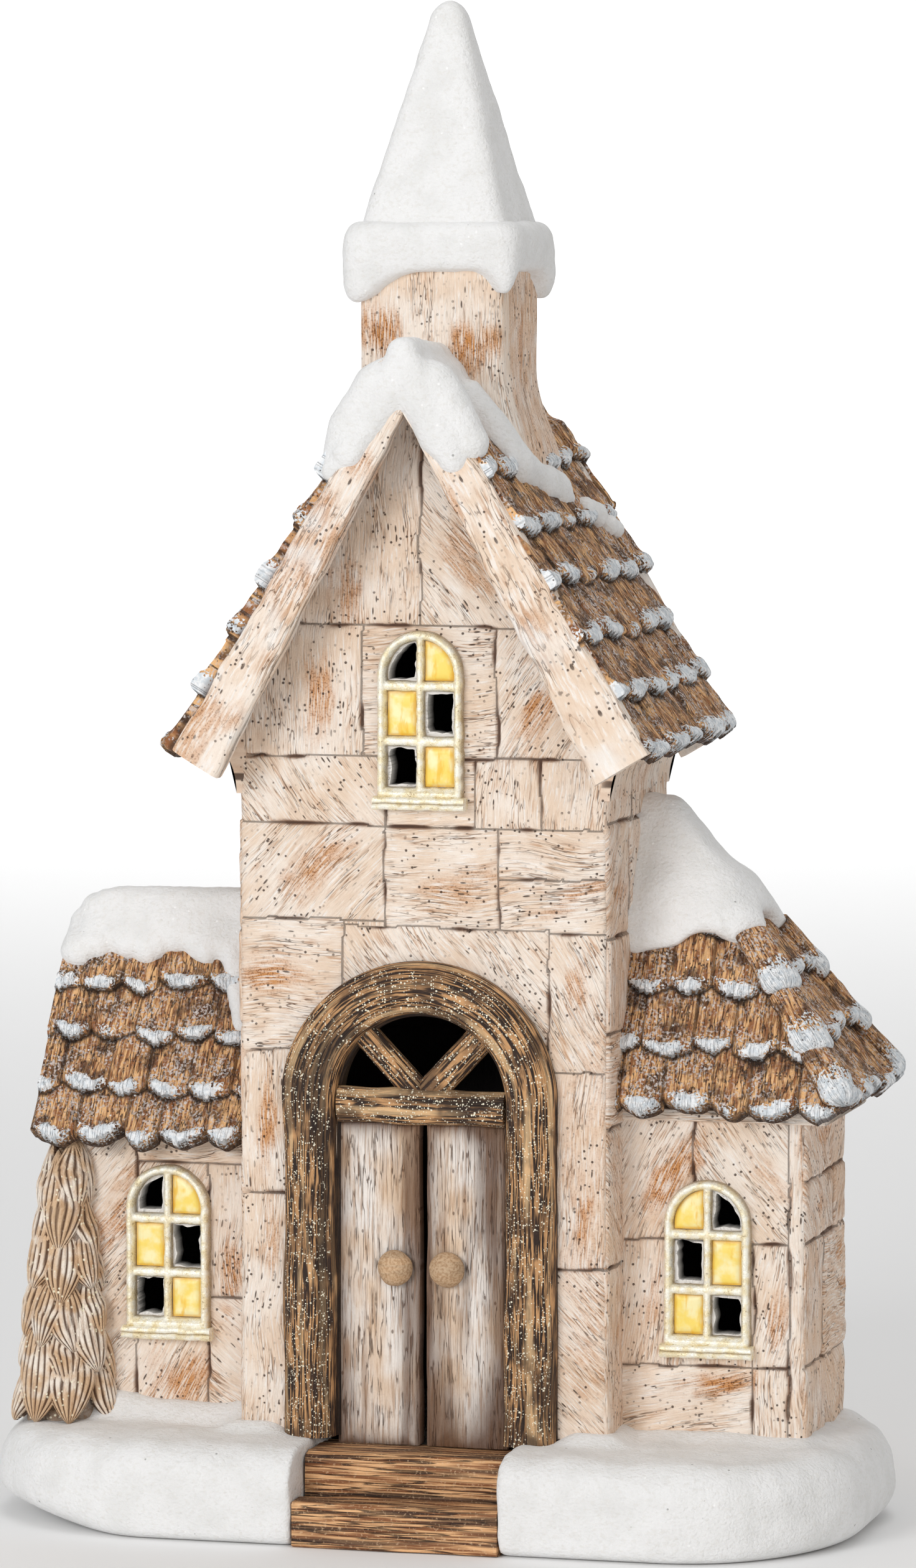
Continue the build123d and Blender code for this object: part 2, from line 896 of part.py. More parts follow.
def door_outline(gap):
    """Outline of the battery door's opening, drawn in by a gap."""
    length = bay_length + 2 * door_ledge - 2 * gap
    return Pos(bay_offset, 0) * Rectangle(length, bay_width + 2 * door_ledge - 2 * gap)


def hinge_pins(extra):
    """The door's two hinge pins, thickened for their sockets."""
    span = bay_width + 2 * door_ledge + 2 * hinge_pin_reach + 2 * extra
    return Pos(hinge_x, 0, hinge_z) * Rot(X=90) * Cylinder(hinge_pin_radius + extra, span)


def make_battery_door():
    """Flush door with a rounded hinge edge and a pin at each end of it."""
    plate = extrude(Pos(0, 0, flange_bottom) * door_outline(door_gap), door_thickness)
    plate -= block(-base_length, hinge_x, -base_depth, base_depth, 0, base_height)
    barrel = Cylinder(door_thickness / 2, bay_width + 2 * door_ledge - 2 * door_gap)
    return plate + Pos(hinge_x, 0, hinge_z) * Rot(X=90) * barrel + hinge_pins(0)


def switch_cavity():
    """Slot for the slider's stem and a pocket for its plate."""
    stem_length = switch_length + switch_travel + 2 * switch_gap
    stem = Box(switch_width + 2 * switch_gap, stem_length, 2 * flange_top)
    plate_length = switch_length + 2 * switch_plate_margin + switch_travel + 2 * switch_gap
    plate_width = switch_width + 2 * switch_plate_margin + 2 * switch_gap
    pocket = Box(plate_width, plate_length, housing_ceiling - flange_top, align=ON_GROUND)
    return Pos(switch_offset, 0, flange_bottom) * stem + Pos(switch_offset, 0, flange_top) * pocket


def make_switch_slider():
    """Sliding switch button with a ridged thumb face, kept in by a plate above the flange."""
    rest = -switch_travel / 2
    stem = block(
        switch_offset - switch_width / 2,
        switch_offset + switch_width / 2,
        rest - switch_length / 2,
        rest + switch_length / 2,
        flange_bottom - switch_proud,
        flange_top + switch_gap,
    )
    half_width = switch_width / 2 + switch_plate_margin
    half_length = switch_length / 2 + switch_plate_margin
    plate = block(
        switch_offset - half_width,
        switch_offset + half_width,
        rest - half_length,
        rest + half_length,
        flange_top + switch_gap,
        flange_top + switch_gap + switch_plate,
    )
    slider = stem + plate
    for i in (-1, 0, 1):
        groove = Pos(switch_offset, rest + i * switch_length / 4, flange_bottom - switch_proud)
        slider -= groove * Box(switch_width, switch_grip, switch_grip)
    return slider


def battery_rows():
    """Places of the cells across the bay, with alternate cells turned round."""
    pitch = bay_width / battery_count
    level = bay_floor + battery_lift + battery_radius
    for i in range(battery_count):
        yield i, Pos(bay_offset, (i - (battery_count - 1) / 2) * pitch, level)


def make_batteries():
    """Slim cells side by side in the bay."""
    cells = []
    for i, place in battery_rows():
        can = Rot(Y=90) * Cylinder(battery_radius, battery_length)
        can = chamfer(can.edges(), battery_edge)
        nub = Rot(Y=90) * Cylinder(battery_nub_radius, battery_length + 2 * battery_nub_length)
        nub -= block(-battery_length, 0, -battery_radius, battery_radius, -battery_radius, battery_radius)
        cells.append((place * Rot(Z=180 * (i % 2)) * (can + nub)).solid())
    return Compound(children=cells)


def make_battery_contacts():
    """Sprung contact plates at the two ends of the bay, each with a dimple for every cell."""
    plates = []
    for end in (-1, 1):
        wall = bay_offset + end * bay_length / 2
        inner = wall - end * contact_thickness
        low, high = sorted((wall, inner))
        level = bay_floor + battery_lift + battery_radius
        foot, head = level - contact_height / 2, level + contact_height / 2
        plate = block(low, high, -bay_width / 2, bay_width / 2, foot, head)
        reach = bay_length / 2 - contact_thickness - battery_length / 2 - battery_nub_length
        for _, place in battery_rows():
            dimple = Rot(Y=90) * Cylinder(battery_nub_radius, reach)
            shift = Pos(end * (bay_length / 2 - contact_thickness - reach / 2), 0, 0)
            plate += place * shift * dimple
        plates.append(plate.solid())
    return Compound(children=plates)


def make_led_board():
    """Small circuit board under the housing's top."""
    return block(
        -board_length / 2,
        board_length / 2,
        -board_width / 2,
        board_width / 2,
        housing_ceiling - board_thickness,
        housing_ceiling,
    )


def make_led_chip():
    """Square light source on the board, in the hole of the housing's top."""
    return Pos(0, 0, housing_ceiling + led_height / 2) * Box(led_size, led_size, led_height)


def make_led_lens():
    """Domed diffuser on a flat flange over the light source."""
    flange = Cylinder(lens_radius + lens_flange, lens_flange_height, align=ON_GROUND)
    dome = Sphere(lens_radius, 0, 90, align=ON_GROUND)
    return Pos(0, 0, housing_top) * (flange + dome)


def make_grip_band():
    """Soft band round the housing that grips the walls of the socket."""
    outer = RectangleRounded(socket_length - 2 * band_gap, socket_width - 2 * band_gap, housing_rounding)
    inner = RectangleRounded(housing_length, housing_width, housing_rounding)
    return Pos(0, 0, band_level) * extrude(outer - inner, amount=band_height)


# All nodes by name


def make_nodes():
    """Every node of the house, by name."""
    main_roofs = [make_main_roof(-1), make_main_roof(1)]
    left_roofs = [make_left_roof(-1), make_left_roof(1)]
    right_roof = make_right_roof()
    shaft = make_steeple_shaft(main_roofs)
    boards = {
        "bargeboard_front_left": make_bargeboard(-1, -roof_end, -slab_end),
        "bargeboard_front_right": make_bargeboard(1, -roof_end, -slab_end),
        "bargeboard_rear_left": make_bargeboard(-1, slab_end, roof_end),
        "bargeboard_rear_right": make_bargeboard(1, slab_end, roof_end),
    }
    nodes = {
        "snow_base": make_snow_base(),
        "lower_step": make_step(step_front, step_front + step_tread, lower_step_height),
        "upper_step": make_step(step_front + step_tread - nosing, tower_front, landing_height),
        "tower_walls": make_tower_walls(),
        "left_wing_walls": make_left_wing_walls(),
        "right_wing_walls": make_right_wing_walls(),
        "main_roof_left": main_roofs[0],
        "main_roof_right": main_roofs[1],
        "left_roof_front": left_roofs[0],
        "left_roof_rear": left_roofs[1],
        "right_roof": right_roof,
        "ridge_snow_front": make_ridge_snow(-1, [*main_roofs, shaft]),
        "ridge_snow_rear": make_ridge_snow(1, [*main_roofs, shaft]),
        "left_roof_snow": make_left_snow(left_roofs),
        "right_roof_snow": make_right_snow(right_roof),
        "steeple_shaft": shaft,
        "spire_cap": make_spire_cap(),
        "spire": make_spire(),
        "door_frame": make_door_frame(),
        "door_transom": make_transom(),
        "fanlight_bars": make_fan_bars(),
        "door_leaf_left": make_door_leaf(-1),
        "door_leaf_right": make_door_leaf(1),
        "door_knob_left": make_knob(-1),
        "door_knob_right": make_knob(1),
        "gable_window_frame": make_window_frame(gable_window),
        "left_window_frame": make_window_frame(left_window),
        "right_window_frame": make_window_frame(right_window),
        "gable_window_panes": make_window_panes(gable_window),
        "left_window_panes": make_window_panes(left_window),
        "right_window_panes": make_window_panes(right_window),
        "fir_tree": make_fir_tree(left_roofs),
        "lamp_housing": make_lamp_housing(),
        "battery_door": make_battery_door(),
        "switch_slider": make_switch_slider(),
        "batteries": make_batteries(),
        "battery_contacts": make_battery_contacts(),
        "led_board": make_led_board(),
        "led_chip": make_led_chip(),
        "led_lens": make_led_lens(),
        "grip_band": make_grip_band(),
    }
    return {**nodes, **boards}


os.makedirs("parts", exist_ok=True)
for name, shape in make_nodes().items():
    export_step(shape, f"parts/{name}.step")
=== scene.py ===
import json
from collections import namedtuple
from math import cos, hypot, pi, radians, sin, tan

import bpy
import numpy as np
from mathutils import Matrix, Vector


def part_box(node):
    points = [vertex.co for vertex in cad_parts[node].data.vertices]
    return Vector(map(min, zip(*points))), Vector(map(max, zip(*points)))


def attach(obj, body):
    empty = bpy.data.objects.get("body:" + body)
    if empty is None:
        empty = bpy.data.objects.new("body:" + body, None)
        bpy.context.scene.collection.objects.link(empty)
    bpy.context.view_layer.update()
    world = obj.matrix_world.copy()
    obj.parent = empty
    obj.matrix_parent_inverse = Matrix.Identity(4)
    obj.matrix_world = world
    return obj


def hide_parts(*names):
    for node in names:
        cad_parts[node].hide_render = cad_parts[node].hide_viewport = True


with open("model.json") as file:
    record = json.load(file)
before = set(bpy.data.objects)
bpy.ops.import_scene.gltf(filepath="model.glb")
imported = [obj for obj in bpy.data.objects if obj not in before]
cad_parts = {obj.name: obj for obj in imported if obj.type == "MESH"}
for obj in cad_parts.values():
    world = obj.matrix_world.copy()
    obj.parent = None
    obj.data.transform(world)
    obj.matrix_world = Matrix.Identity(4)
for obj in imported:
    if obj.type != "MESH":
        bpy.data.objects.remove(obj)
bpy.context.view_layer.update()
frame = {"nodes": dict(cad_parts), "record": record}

# Looks of the ceramic village house. Shapes are worked out in millimetres in the part's own frame:
# X to the right, Y to the back, Z up. A panel has its own u across, v up and w out of the surface.
# Stones, rust patches and snow edges stand where the photograph shows them, and the rest is random with
# fixed seeds.

MM = 0.001


def cad(node):
    """Lowest and highest corner of a CAD node, in mm."""
    low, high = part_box(node)
    return np.array(low) / MM, np.array(high) / MM


# Places taken from the frame
tower_low, tower_high = cad("tower_walls")
left_low, left_high = cad("left_wing_walls")
right_low, right_high = cad("right_wing_walls")
barge_low, barge_high = cad("bargeboard_front_right")
base_low, base_high = cad("snow_base")
door_low, door_high = cad("door_frame")
shaft_low, shaft_high = cad("steeple_shaft")
cap_low, cap_high = cad("spire_cap")
spire_low, spire_high = cad("spire")
ground = base_high[2]
landing = cad("upper_step")[1][2]
tower_front = tower_low[1]
tower_side = tower_high[0]
wing_front = left_low[1]
wing_centre = (left_low[1] + left_high[1]) / 2
ridge = barge_high[2]
eave_reach = barge_high[0]
barge_end = -barge_low[1]
door_half = cad("door_leaf_right")[1][0]

# Driving sizes of the walls and roofs
clay_wall = 5.0
corner_inset = 0.9
corner_radius = 3.0
far_away = 999
main_pitch = radians(59)
eave_height = ridge - eave_reach * tan(main_pitch)
left_pitch = radians(61)
left_ridge = 127.0
wing_eave_run = 26.5
right_eave = right_high[2] + 3.0
right_apex = 149.0
right_rise = right_apex - right_eave
right_snow_line = 125.0
right_roof_end = right_high[0] + 8.8
right_length = right_roof_end - tower_side
right_ridge_run = 8.0
right_end_run = right_length - right_ridge_run
right_course_rise = 12.0
hip_lap = 1.2
shingle_edge = 0.9
barge_head = 6.6
barge_foot = 11.6
barge_setback = {-1: 0.4, 1: -1.4}
crest_sag = 1.3

# Driving sizes of the openings
door_crown = 109.6
window_width = 18.4
window_height = 34.5
window_border = 2.0
window_bar = 1.8
window_rail = 2.2
sill_height = 2.8
sill_depth = 3.6
sill_inset = 0.9

Window = namedtuple("Window", "x sill face upper_left_pierced")
Light = namedtuple("Light", "left right bottom top pierced")


def window_in(wall, face, upper_left_pierced):
    """Window of a wall, with its middle and sill where the CAD frame has them."""
    low, high = cad(f"{wall}_window_frame")
    return Window((low[0] + high[0]) / 2, low[2] + sill_height, face, upper_left_pierced)


windows = {
    "gable": window_in("gable", tower_front, True),
    "left": window_in("left", wing_front, True),
    "right": window_in("right", wing_front, False),
}


# Random fields and curves


def scatter(cells, seed):
    """One repeatable random number from 0 to 1 for each whole-numbered cell."""
    x, y, z = (cells[..., i].astype(np.int64) for i in range(3))
    value = (x * 73856093) ^ (y * 19349663) ^ (z * 83492791) ^ (seed * 1000003)
    value = ((value ^ (value >> 13)) * 1274126177) & 0x7FFFFFFF
    value = ((value ^ (value >> 15)) * 668265263) & 0x7FFFFFFF
    return ((value ^ (value >> 14)) & 0xFFFFF) / 0xFFFFF


def noise(points, size, seed):
    """Smooth random field from -1 to 1 with swells of a given size."""
    scaled = np.asarray(points, float) / size
    cell = np.floor(scaled)
    part = scaled - cell
    part = part * part * (3 - 2 * part)
    total = np.zeros(scaled.shape[:-1])
    for corner in np.ndindex(2, 2, 2):
        step = np.array(corner)
        weight = np.prod(np.where(step, part, 1 - part), axis=-1)
        total += weight * scatter(cell + step, seed)
    return 2 * total - 1


def rough(points, size, seed, octaves):
    """Random field with finer fields laid on it."""
    return sum(noise(points, size / 2**i, seed + i) / 2**i for i in range(octaves))


def smooth(start, end, x):
    """Soft step from 0 at start to 1 at end."""
    t = np.clip((x - start) / (end - start), 0, 1)
    return t * t * (3 - 2 * t)


def spot(*coordinates):
    """Points from separate coordinates."""
    return np.stack(np.broadcast_arrays(*coordinates), -1).astype(float)


def carved(grain, seed, *layers):
    """Grain of brushed clay or wood: layers of strokes, each given as stretch, size and depth."""
    fields = []
    for number, (stretch, size, depth) in enumerate(layers):
        fields.append(noise(grain * (1, stretch, 1), size, seed + number) * depth)
    return sum(fields)


def circle(count):
    """Even turns round a ring."""
    return np.linspace(0, 2 * pi, count, endpoint=False)


def blunt(wave, power):
    """Signed power of a sine or cosine, which squares off a round section."""
    return np.sign(wave) * np.abs(wave) ** power


def soft_section(count, power):
    """Both coordinates, from -1 to 1, of points round a square with soft corners."""
    turn = circle(count)
    return blunt(np.cos(turn), power), blunt(np.sin(turn), power)


# Meshes


def add_mesh(name, points, faces, marks=None, crease=50):
    """Mesh object from points in mm and face arrays; marks are named values at the points."""
    mesh = bpy.data.meshes.new(name)
    mesh.vertices.add(len(points))
    mesh.vertices.foreach_set("co", (np.asarray(points) * MM).astype(np.float32).ravel())
    counts = np.concatenate([np.full(len(f), f.shape[1]) for f in faces])
    corners = np.concatenate([f.ravel() for f in faces]).astype(np.int32)
    mesh.loops.add(len(corners))
    mesh.loops.foreach_set("vertex_index", corners)
    mesh.polygons.add(len(counts))
    mesh.polygons.foreach_set("loop_start", (np.cumsum(counts) - counts).astype(np.int32))
    mesh.polygons.foreach_set("use_smooth", np.ones(len(counts), bool))
    mesh.update(calc_edges=True)
    mesh.validate()
    mesh.set_sharp_from_angle(angle=radians(crease))
    for key, values in (marks or {}).items():
        values = np.asarray(values, np.float32)
        kind, field = ("FLOAT_VECTOR", "vector") if values.ndim == 2 else ("FLOAT", "value")
        mesh.attributes.new(key, kind, "POINT").data.foreach_set(field, values.ravel())
    piece = bpy.data.objects.new(name, mesh)
    bpy.context.scene.collection.objects.link(piece)
    return piece


def plane(origin, across, up=(0, 0, 1)):
    """Maps panel coordinates to mm."""
    origin, across, up = (np.array(v, float) for v in (origin, across, up))
    out = np.cross(across, up)
    return lambda u, v, w: origin + u[:, None] * across + v[:, None] * up + w[:, None] * out


def without_pinches(keep):
    """Cells with no two that touch at a corner only."""
    keep, most_rounds = keep.copy(), 8
    for _ in range(most_rounds):
        a, b, c, d = keep[:-1, :-1], keep[:-1, 1:], keep[1:, :-1], keep[1:, 1:]
        rows, columns = np.nonzero((a & d & ~b & ~c) | (b & c & ~a & ~d))
        if not len(rows):
            break
        for i, j in np.ndindex(2, 2):
            keep[rows + i, columns + j] = True
    return keep


def slab(name, place, low, high, step, inside, surface, depth):
    """Closed plate over the part of a panel where inside is negative; surface gives relief and marks.

    The depth below the panel is a function of the place up the panel.
    """
    across, upward = (np.linspace(a, b, round((b - a) / step) + 1) for a, b in zip(low, high))
    u, v = np.meshgrid(across, upward)
    keep = without_pinches(inside((u[:-1, :-1] + u[1:, 1:]) / 2, (v[:-1, :-1] + v[1:, 1:]) / 2) < 0)
    padded = np.pad(keep, 1)
    rows, columns = u.shape
    around = sum(padded[i : i + rows, j : j + columns].astype(int) for i, j in np.ndindex(2, 2))
    used, rim = around > 0, (around > 0) & (around < 4)
    probe, flattest = 0.05, 0.3
    distance = np.clip(inside(u, v), -step, step)
    slope_u = (inside(u + probe, v) - inside(u - probe, v)) / (2 * probe)
    slope_v = (inside(u, v + probe) - inside(u, v - probe)) / (2 * probe)
    steep = np.maximum(slope_u**2 + slope_v**2, flattest)
    u = np.where(rim, u - distance * slope_u / steep, u)[used]
    v = np.where(rim, v - distance * slope_v / steep, v)[used]
    relief, marks = surface(u, v)
    count = len(u)
    index = np.full(used.shape, -1)
    index[used] = np.arange(count)
    front = np.stack([index[:-1, :-1], index[:-1, 1:], index[1:, 1:], index[1:, :-1]], -1)[keep]
    faces = [front, front[:, ::-1] + count]
    above, below = padded[1:, 1:-1], padded[:-1, 1:-1]
    right, left = padded[1:-1, 1:], padded[1:-1, :-1]
    for one, other, chosen in (
        (index[:, 1:], index[:, :-1], above & ~below),
        (index[:, :-1], index[:, 1:], below & ~above),
        (index[:-1, :], index[1:, :], right & ~left),
        (index[1:, :], index[:-1, :], left & ~right),
    ):
        one, other = one[chosen], other[chosen]
        faces.append(np.stack([one, other, other + count, one + count], -1))
    marks = {key: np.concatenate([values, values]) for key, values in marks.items()}
    marks["inside"] = np.repeat((0.0, 1.0), count)
    points = np.concatenate([place(u, v, relief), place(u, v, -depth(v))])
    return add_mesh(name, points, faces, marks)


def even(depth):
    """The same depth all over a panel."""
    return lambda v: np.full(len(v), depth)


def tube_arrays(rings):
    """Points and faces of a closed skin over rings of points, capped at both ends."""
    stations, around = rings.shape[:2]
    points = rings.reshape(-1, 3)
    index = np.arange(stations * around).reshape(stations, around)
    after = np.roll(index, -1, axis=1)
    sides = np.stack([index[:-1], after[:-1], after[1:], index[1:]], -1).reshape(-1, 4)
    first, last = np.full(around, len(points)), np.full(around, len(points) + 1)
    points = np.concatenate([points, [rings[0].mean(0), rings[-1].mean(0)]])
    caps = [np.stack([after[0], index[0], first], -1), np.stack([index[-1], after[-1], last], -1)]
    faces = [sides, np.concatenate(caps)]
    if skin_volume(points, faces) < 0:
        faces = [f[:, ::-1] for f in faces]
    return points, faces


def skin_volume(points, faces):
    """Signed volume inside a closed skin."""
    total = 0.0
    for f in faces:
        p = points[f]
        for i in range(1, f.shape[1] - 1):
            total += np.einsum("ij,ij->i", p[:, 0], np.cross(p[:, i], p[:, i + 1])).sum()
    return total / 6


def tube(name, rings, marks):
    """Mesh object over rings of points; each end's middle takes its ring's mean marks."""
    points, faces = tube_arrays(rings)
    full = {}
    for key, values in marks.items():
        flat = values.reshape(-1, *values.shape[2:])
        full[key] = np.concatenate([flat, [values[0].mean(0), values[-1].mean(0)]])
    return add_mesh(name, points, faces, full)


def ellipsoid(centre, radii):
    """Points and faces of an ellipsoid."""
    pole = 0.02
    p, t = np.meshgrid(np.linspace(pole, pi - pole, 15), circle(24), indexing="ij")
    ball = np.stack([np.sin(p) * np.cos(t), np.sin(p) * np.sin(t), np.cos(p)], -1)
    return tube_arrays(ball * np.array(radii) + np.array(centre))


def merged(parts):
    """Points and faces of several meshes as one."""
    starts = np.cumsum([0] + [len(part[0]) for part in parts])
    faces = [f + start for part, start in zip(parts, starts) for f in part[1]]
    return np.concatenate([part[0] for part in parts]), faces


def softened(draft, voxel, rounds):
    """Points in mm, normals and faces of a draft's remeshed and softened skin; the draft is removed."""
    skin = draft.modifiers.new("skin", "REMESH")
    skin.mode = "VOXEL"
    skin.voxel_size = voxel * MM
    draft.modifiers.new("soft", "SMOOTH").iterations = rounds
    bpy.context.view_layer.update()
    mesh = bpy.data.meshes.new_from_object(draft.evaluated_get(bpy.context.evaluated_depsgraph_get()))
    bpy.data.objects.remove(draft)
    points, normals = (np.zeros(len(mesh.vertices) * 3, np.float32) for _ in range(2))
    mesh.vertices.foreach_get("co", points)
    mesh.vertex_normals.foreach_get("vector", normals)
    corners = np.zeros(len(mesh.loops), np.int32)
    mesh.loops.foreach_get("vertex_index", corners)
    starts = np.zeros(len(mesh.polygons), np.int32)
    mesh.polygons.foreach_get("loop_start", starts)
    bpy.data.meshes.remove(mesh)
    totals = np.diff(np.append(starts, len(corners)))
    faces = [corners[starts[totals == n][:, None] + np.arange(n)] for n in np.unique(totals)]
    return points.reshape(-1, 3).astype(float) / MM, normals.reshape(-1, 3).astype(float), faces


# Paints


def tint(red, green, blue):
    """Linear colour of an sRGB colour given from 0 to 255."""
    return (*[((c / 255 + 0.055) / 1.055) ** 2.4 for c in (red, green, blue)], 1.0)


class Paint:
    """One procedural material: colours laid over each other, and short names for the nodes that mix them."""

    def __init__(self, name, roughness=None, metallic=0.0):
        self.material = bpy.data.materials.new(name)
        self.material.use_nodes = True
        self.tree = self.material.node_tree
        self.shader = self.tree.nodes["Principled BSDF"]
        self.shader.inputs["Metallic"].default_value = metallic
        if roughness is not None:
            self.shader.inputs["Roughness"].default_value = roughness
        self.colour = None

    def feed(self, socket, value):
        """Links a socket or sets its value."""
        if isinstance(value, bpy.types.NodeSocket):
            self.tree.links.new(value, socket)
        else:
            socket.default_value = value

    def node(self, kind, inputs, **settings):
        """New node with some inputs, by name or number, and settings."""
        node = self.tree.nodes.new(kind)
        for key, value in settings.items():
            setattr(node, key, value)
        for key, value in inputs.items():
            self.feed(node.inputs[key], value)
        return node

    def mark(self, name):
        """Value stored at the mesh's points."""
        return self.node("ShaderNodeAttribute", {}, attribute_name=name).outputs["Fac"]

    def scaled(self, vector, factors):
        """Vector times a factor on each axis."""
        return self.node("ShaderNodeVectorMath", {0: vector, 1: factors}, operation="MULTIPLY").outputs[0]

    def grain(self, across, along):
        """Brush coordinates stored at the mesh's points, in mm, stretched."""
        stored = self.node("ShaderNodeAttribute", {}, attribute_name="grain").outputs["Vector"]
        return self.scaled(stored, (across, along, 1.0))

    def place(self):
        """Object coordinates in mm."""
        return self.scaled(self.node("ShaderNodeTexCoord", {}).outputs["Object"], (1 / MM,) * 3)

    def math(self, operation, one, other):
        """Arithmetic on two values."""
        return self.node("ShaderNodeMath", {0: one, 1: other}, operation=operation).outputs[0]

    def times(self, one, other):
        return self.math("MULTIPLY", one, other)

    def plus(self, one, other):
        return self.math("ADD", one, other)

    def minus(self, one, other):
        return self.math("SUBTRACT", one, other)

    def ramp(self, value, start, end, low=0.0, high=1.0):
        """Soft step of a value."""
        inputs = {0: value, 1: start, 2: end, 3: low, 4: high}
        return self.node("ShaderNodeMapRange", inputs, interpolation_type="SMOOTHSTEP").outputs[0]

    def noise(self, size, detail=3, vector=None):
        """Noise with swells of a size in mm."""
        inputs = {"Vector": vector or self.place(), "Scale": 1 / size, "Detail": detail}
        return self.node("ShaderNodeTexNoise", inputs).outputs[0]

    def strokes(self, size, along, detail=3, across=1.0):
        """Noise drawn out along the brush strokes."""
        return self.noise(size, detail, self.grain(across, along))

    def specks(self, spacing, share, size, vector=None):
        """1 inside sparse round specks of a size in mm."""
        cells = self.node("ShaderNodeTexVoronoi", {"Vector": vector or self.place(), "Scale": 1 / spacing})
        near = self.ramp(cells.outputs["Distance"], size / spacing, 0.55 * size / spacing)
        pick = self.node("ShaderNodeSeparateColor", {0: cells.outputs["Color"]}).outputs[0]
        return self.times(near, self.math("LESS_THAN", pick, share))

    def hairs(self, size, along, width):
        """1 on thin wandering lines along the brush strokes."""
        level = self.math("ABSOLUTE", self.minus(self.strokes(size, along, 2), 0.5), 0.0)
        return self.ramp(level, width, 0.2 * width)

    def blend(self, share, one, other):
        """Mix of two colours, each a socket or given from 0 to 255."""
        one, other = (tint(*colour) if isinstance(colour, tuple) else colour for colour in (one, other))
        return self.node("ShaderNodeMix", {0: share, 6: one, 7: other}, data_type="RGBA").outputs[2]

    def layer(self, share, colour):
        """Lays a colour over the paint so far."""
        self.colour = self.blend(share, self.colour, colour)

    def hollows(self, start, end, most, colour):
        """Lays a colour into the places marked as cavities."""
        self.layer(self.ramp(self.mark("cavity"), start, end, 0.0, most), colour)

    def finish(self, height, depth, roughness=None):
        """Sets the colour, the fine relief in mm and a varied roughness."""
        self.feed(self.shader.inputs["Base Color"], self.colour)
        if roughness is not None:
            self.feed(self.shader.inputs["Roughness"], roughness)
        bump = self.node("ShaderNodeBump", {"Strength": 1.0, "Distance": depth * MM, "Height": height})
        self.feed(self.shader.inputs["Normal"], bump.outputs[0])
        return self.material


def plaster_paint():
    """Cream clay, brushed in strokes, with brown wash in the hollows, rust patches, pits and pale edges."""
    p = Paint("plaster", roughness=0.85)
    streak, broad = p.strokes(0.36, 0.08), p.strokes(2.4, 0.16, across=0.6)
    cloud, fine = p.noise(12.0, 4), p.noise(0.4, 4)
    p.colour = p.blend(p.ramp(cloud, 0.36, 0.64), (250, 237, 224), (240, 217, 195))
    wash = p.times(p.ramp(streak, 0.49, 0.66), p.ramp(broad, 0.42, 0.62, 0.12, 0.7))
    p.layer(wash, (196, 150, 113))
    p.layer(p.times(p.ramp(streak, 0.45, 0.33), 0.65), (253, 248, 243))
    hair = p.times(p.hairs(0.8, 0.08, 0.018), p.ramp(broad, 0.46, 0.62, 0.04, 0.75))
    p.layer(hair, (110, 74, 50))
    # Rust patches; on the side walls and the steeple's right face this layer also lays a weak tint that is
    # painted shade.
    rust = p.times(p.mark("rust"), p.ramp(streak, 0.36, 0.58, 0.2))
    p.layer(rust, (206, 141, 78))
    p.layer(p.times(rust, p.ramp(fine, 0.5, 0.64)), (136, 80, 40))
    pits, dashes = p.specks(1.2, 0.6, 0.32), p.specks(1.1, 0.32, 0.27, p.grain(1.4, 0.3))
    dark = p.times(p.math("MAXIMUM", pits, dashes), p.ramp(p.noise(8.0, 2), 0.44, 0.58, 0.22))
    p.hollows(0.1, 0.95, 0.85, (124, 82, 55))
    p.layer(p.times(dark, 0.88), (66, 43, 29))
    p.layer(p.mark("bare"), (244, 242, 239))
    # Painted shade: the back faces of the walls, and the inner part of their cut edges, are painted
    # near-black for the unlit inside of the house.
    p.layer(p.mark("inside"), (26, 20, 17))
    height = p.plus(streak, p.times(fine, 0.35))
    return p.finish(p.minus(height, p.times(p.math("MAXIMUM", dark, hair), 0.8)), 0.34)


def shingle_paint():
    """Brown split wood with dark grooves and a mauve-grey bloom, white frosted tips and painted shade on the
    cut edges and underside.
    """
    p = Paint("shingle", roughness=0.85)
    streak, cloud, fine = p.strokes(0.55, 0.14, 4), p.noise(5.0, 4), p.noise(0.6, 5)
    p.colour = p.blend(p.ramp(streak, 0.38, 0.6), (240, 190, 134), (152, 98, 58))
    p.layer(p.ramp(cloud, 0.5, 0.62, 0.0, 0.74), (72, 44, 27))
    lines = p.times(p.hairs(0.9, 0.12, 0.03), 0.85)
    p.layer(lines, (56, 34, 21))
    crumbs = p.times(p.specks(0.8, 0.45, 0.34), p.ramp(cloud, 0.4, 0.56))
    p.layer(p.times(crumbs, 0.8), (44, 28, 19))
    bloom = p.times(p.ramp(fine, 0.48, 0.6), p.ramp(p.noise(6.0, 4), 0.42, 0.58, 0.1, 0.95))
    p.layer(bloom, (214, 203, 198))
    # Painted shade in the gaps between shingles and painted shadow under each course's tips, with darker rib
    # grooves.
    p.hollows(0.1, 0.9, 0.9, (52, 33, 22))
    crust = p.plus(p.mark("dab"), p.ramp(fine, 0.3, 0.7, -0.35, 0.35))
    snow = p.blend(p.ramp(p.noise(1.1), 0.4, 0.62), (250, 252, 254), (222, 229, 235))
    p.layer(p.ramp(crust, 0.28, 0.5), snow)
    holes = p.times(p.specks(0.9, 0.34, 0.28), p.ramp(crust, 1.3, 0.7))
    p.layer(p.times(holes, 0.85), (70, 52, 42))
    p.layer(p.specks(1.5, 0.06, 0.3), (255, 255, 255))
    # Painted shade on the cut edges and the underside of each slope.
    p.layer(p.ramp(p.mark("inside"), 0.2, 0.6, 0.0, 0.85), (78, 54, 38))
    return p.finish(p.minus(p.plus(streak, p.times(fine, 0.9)), lines), 0.5)


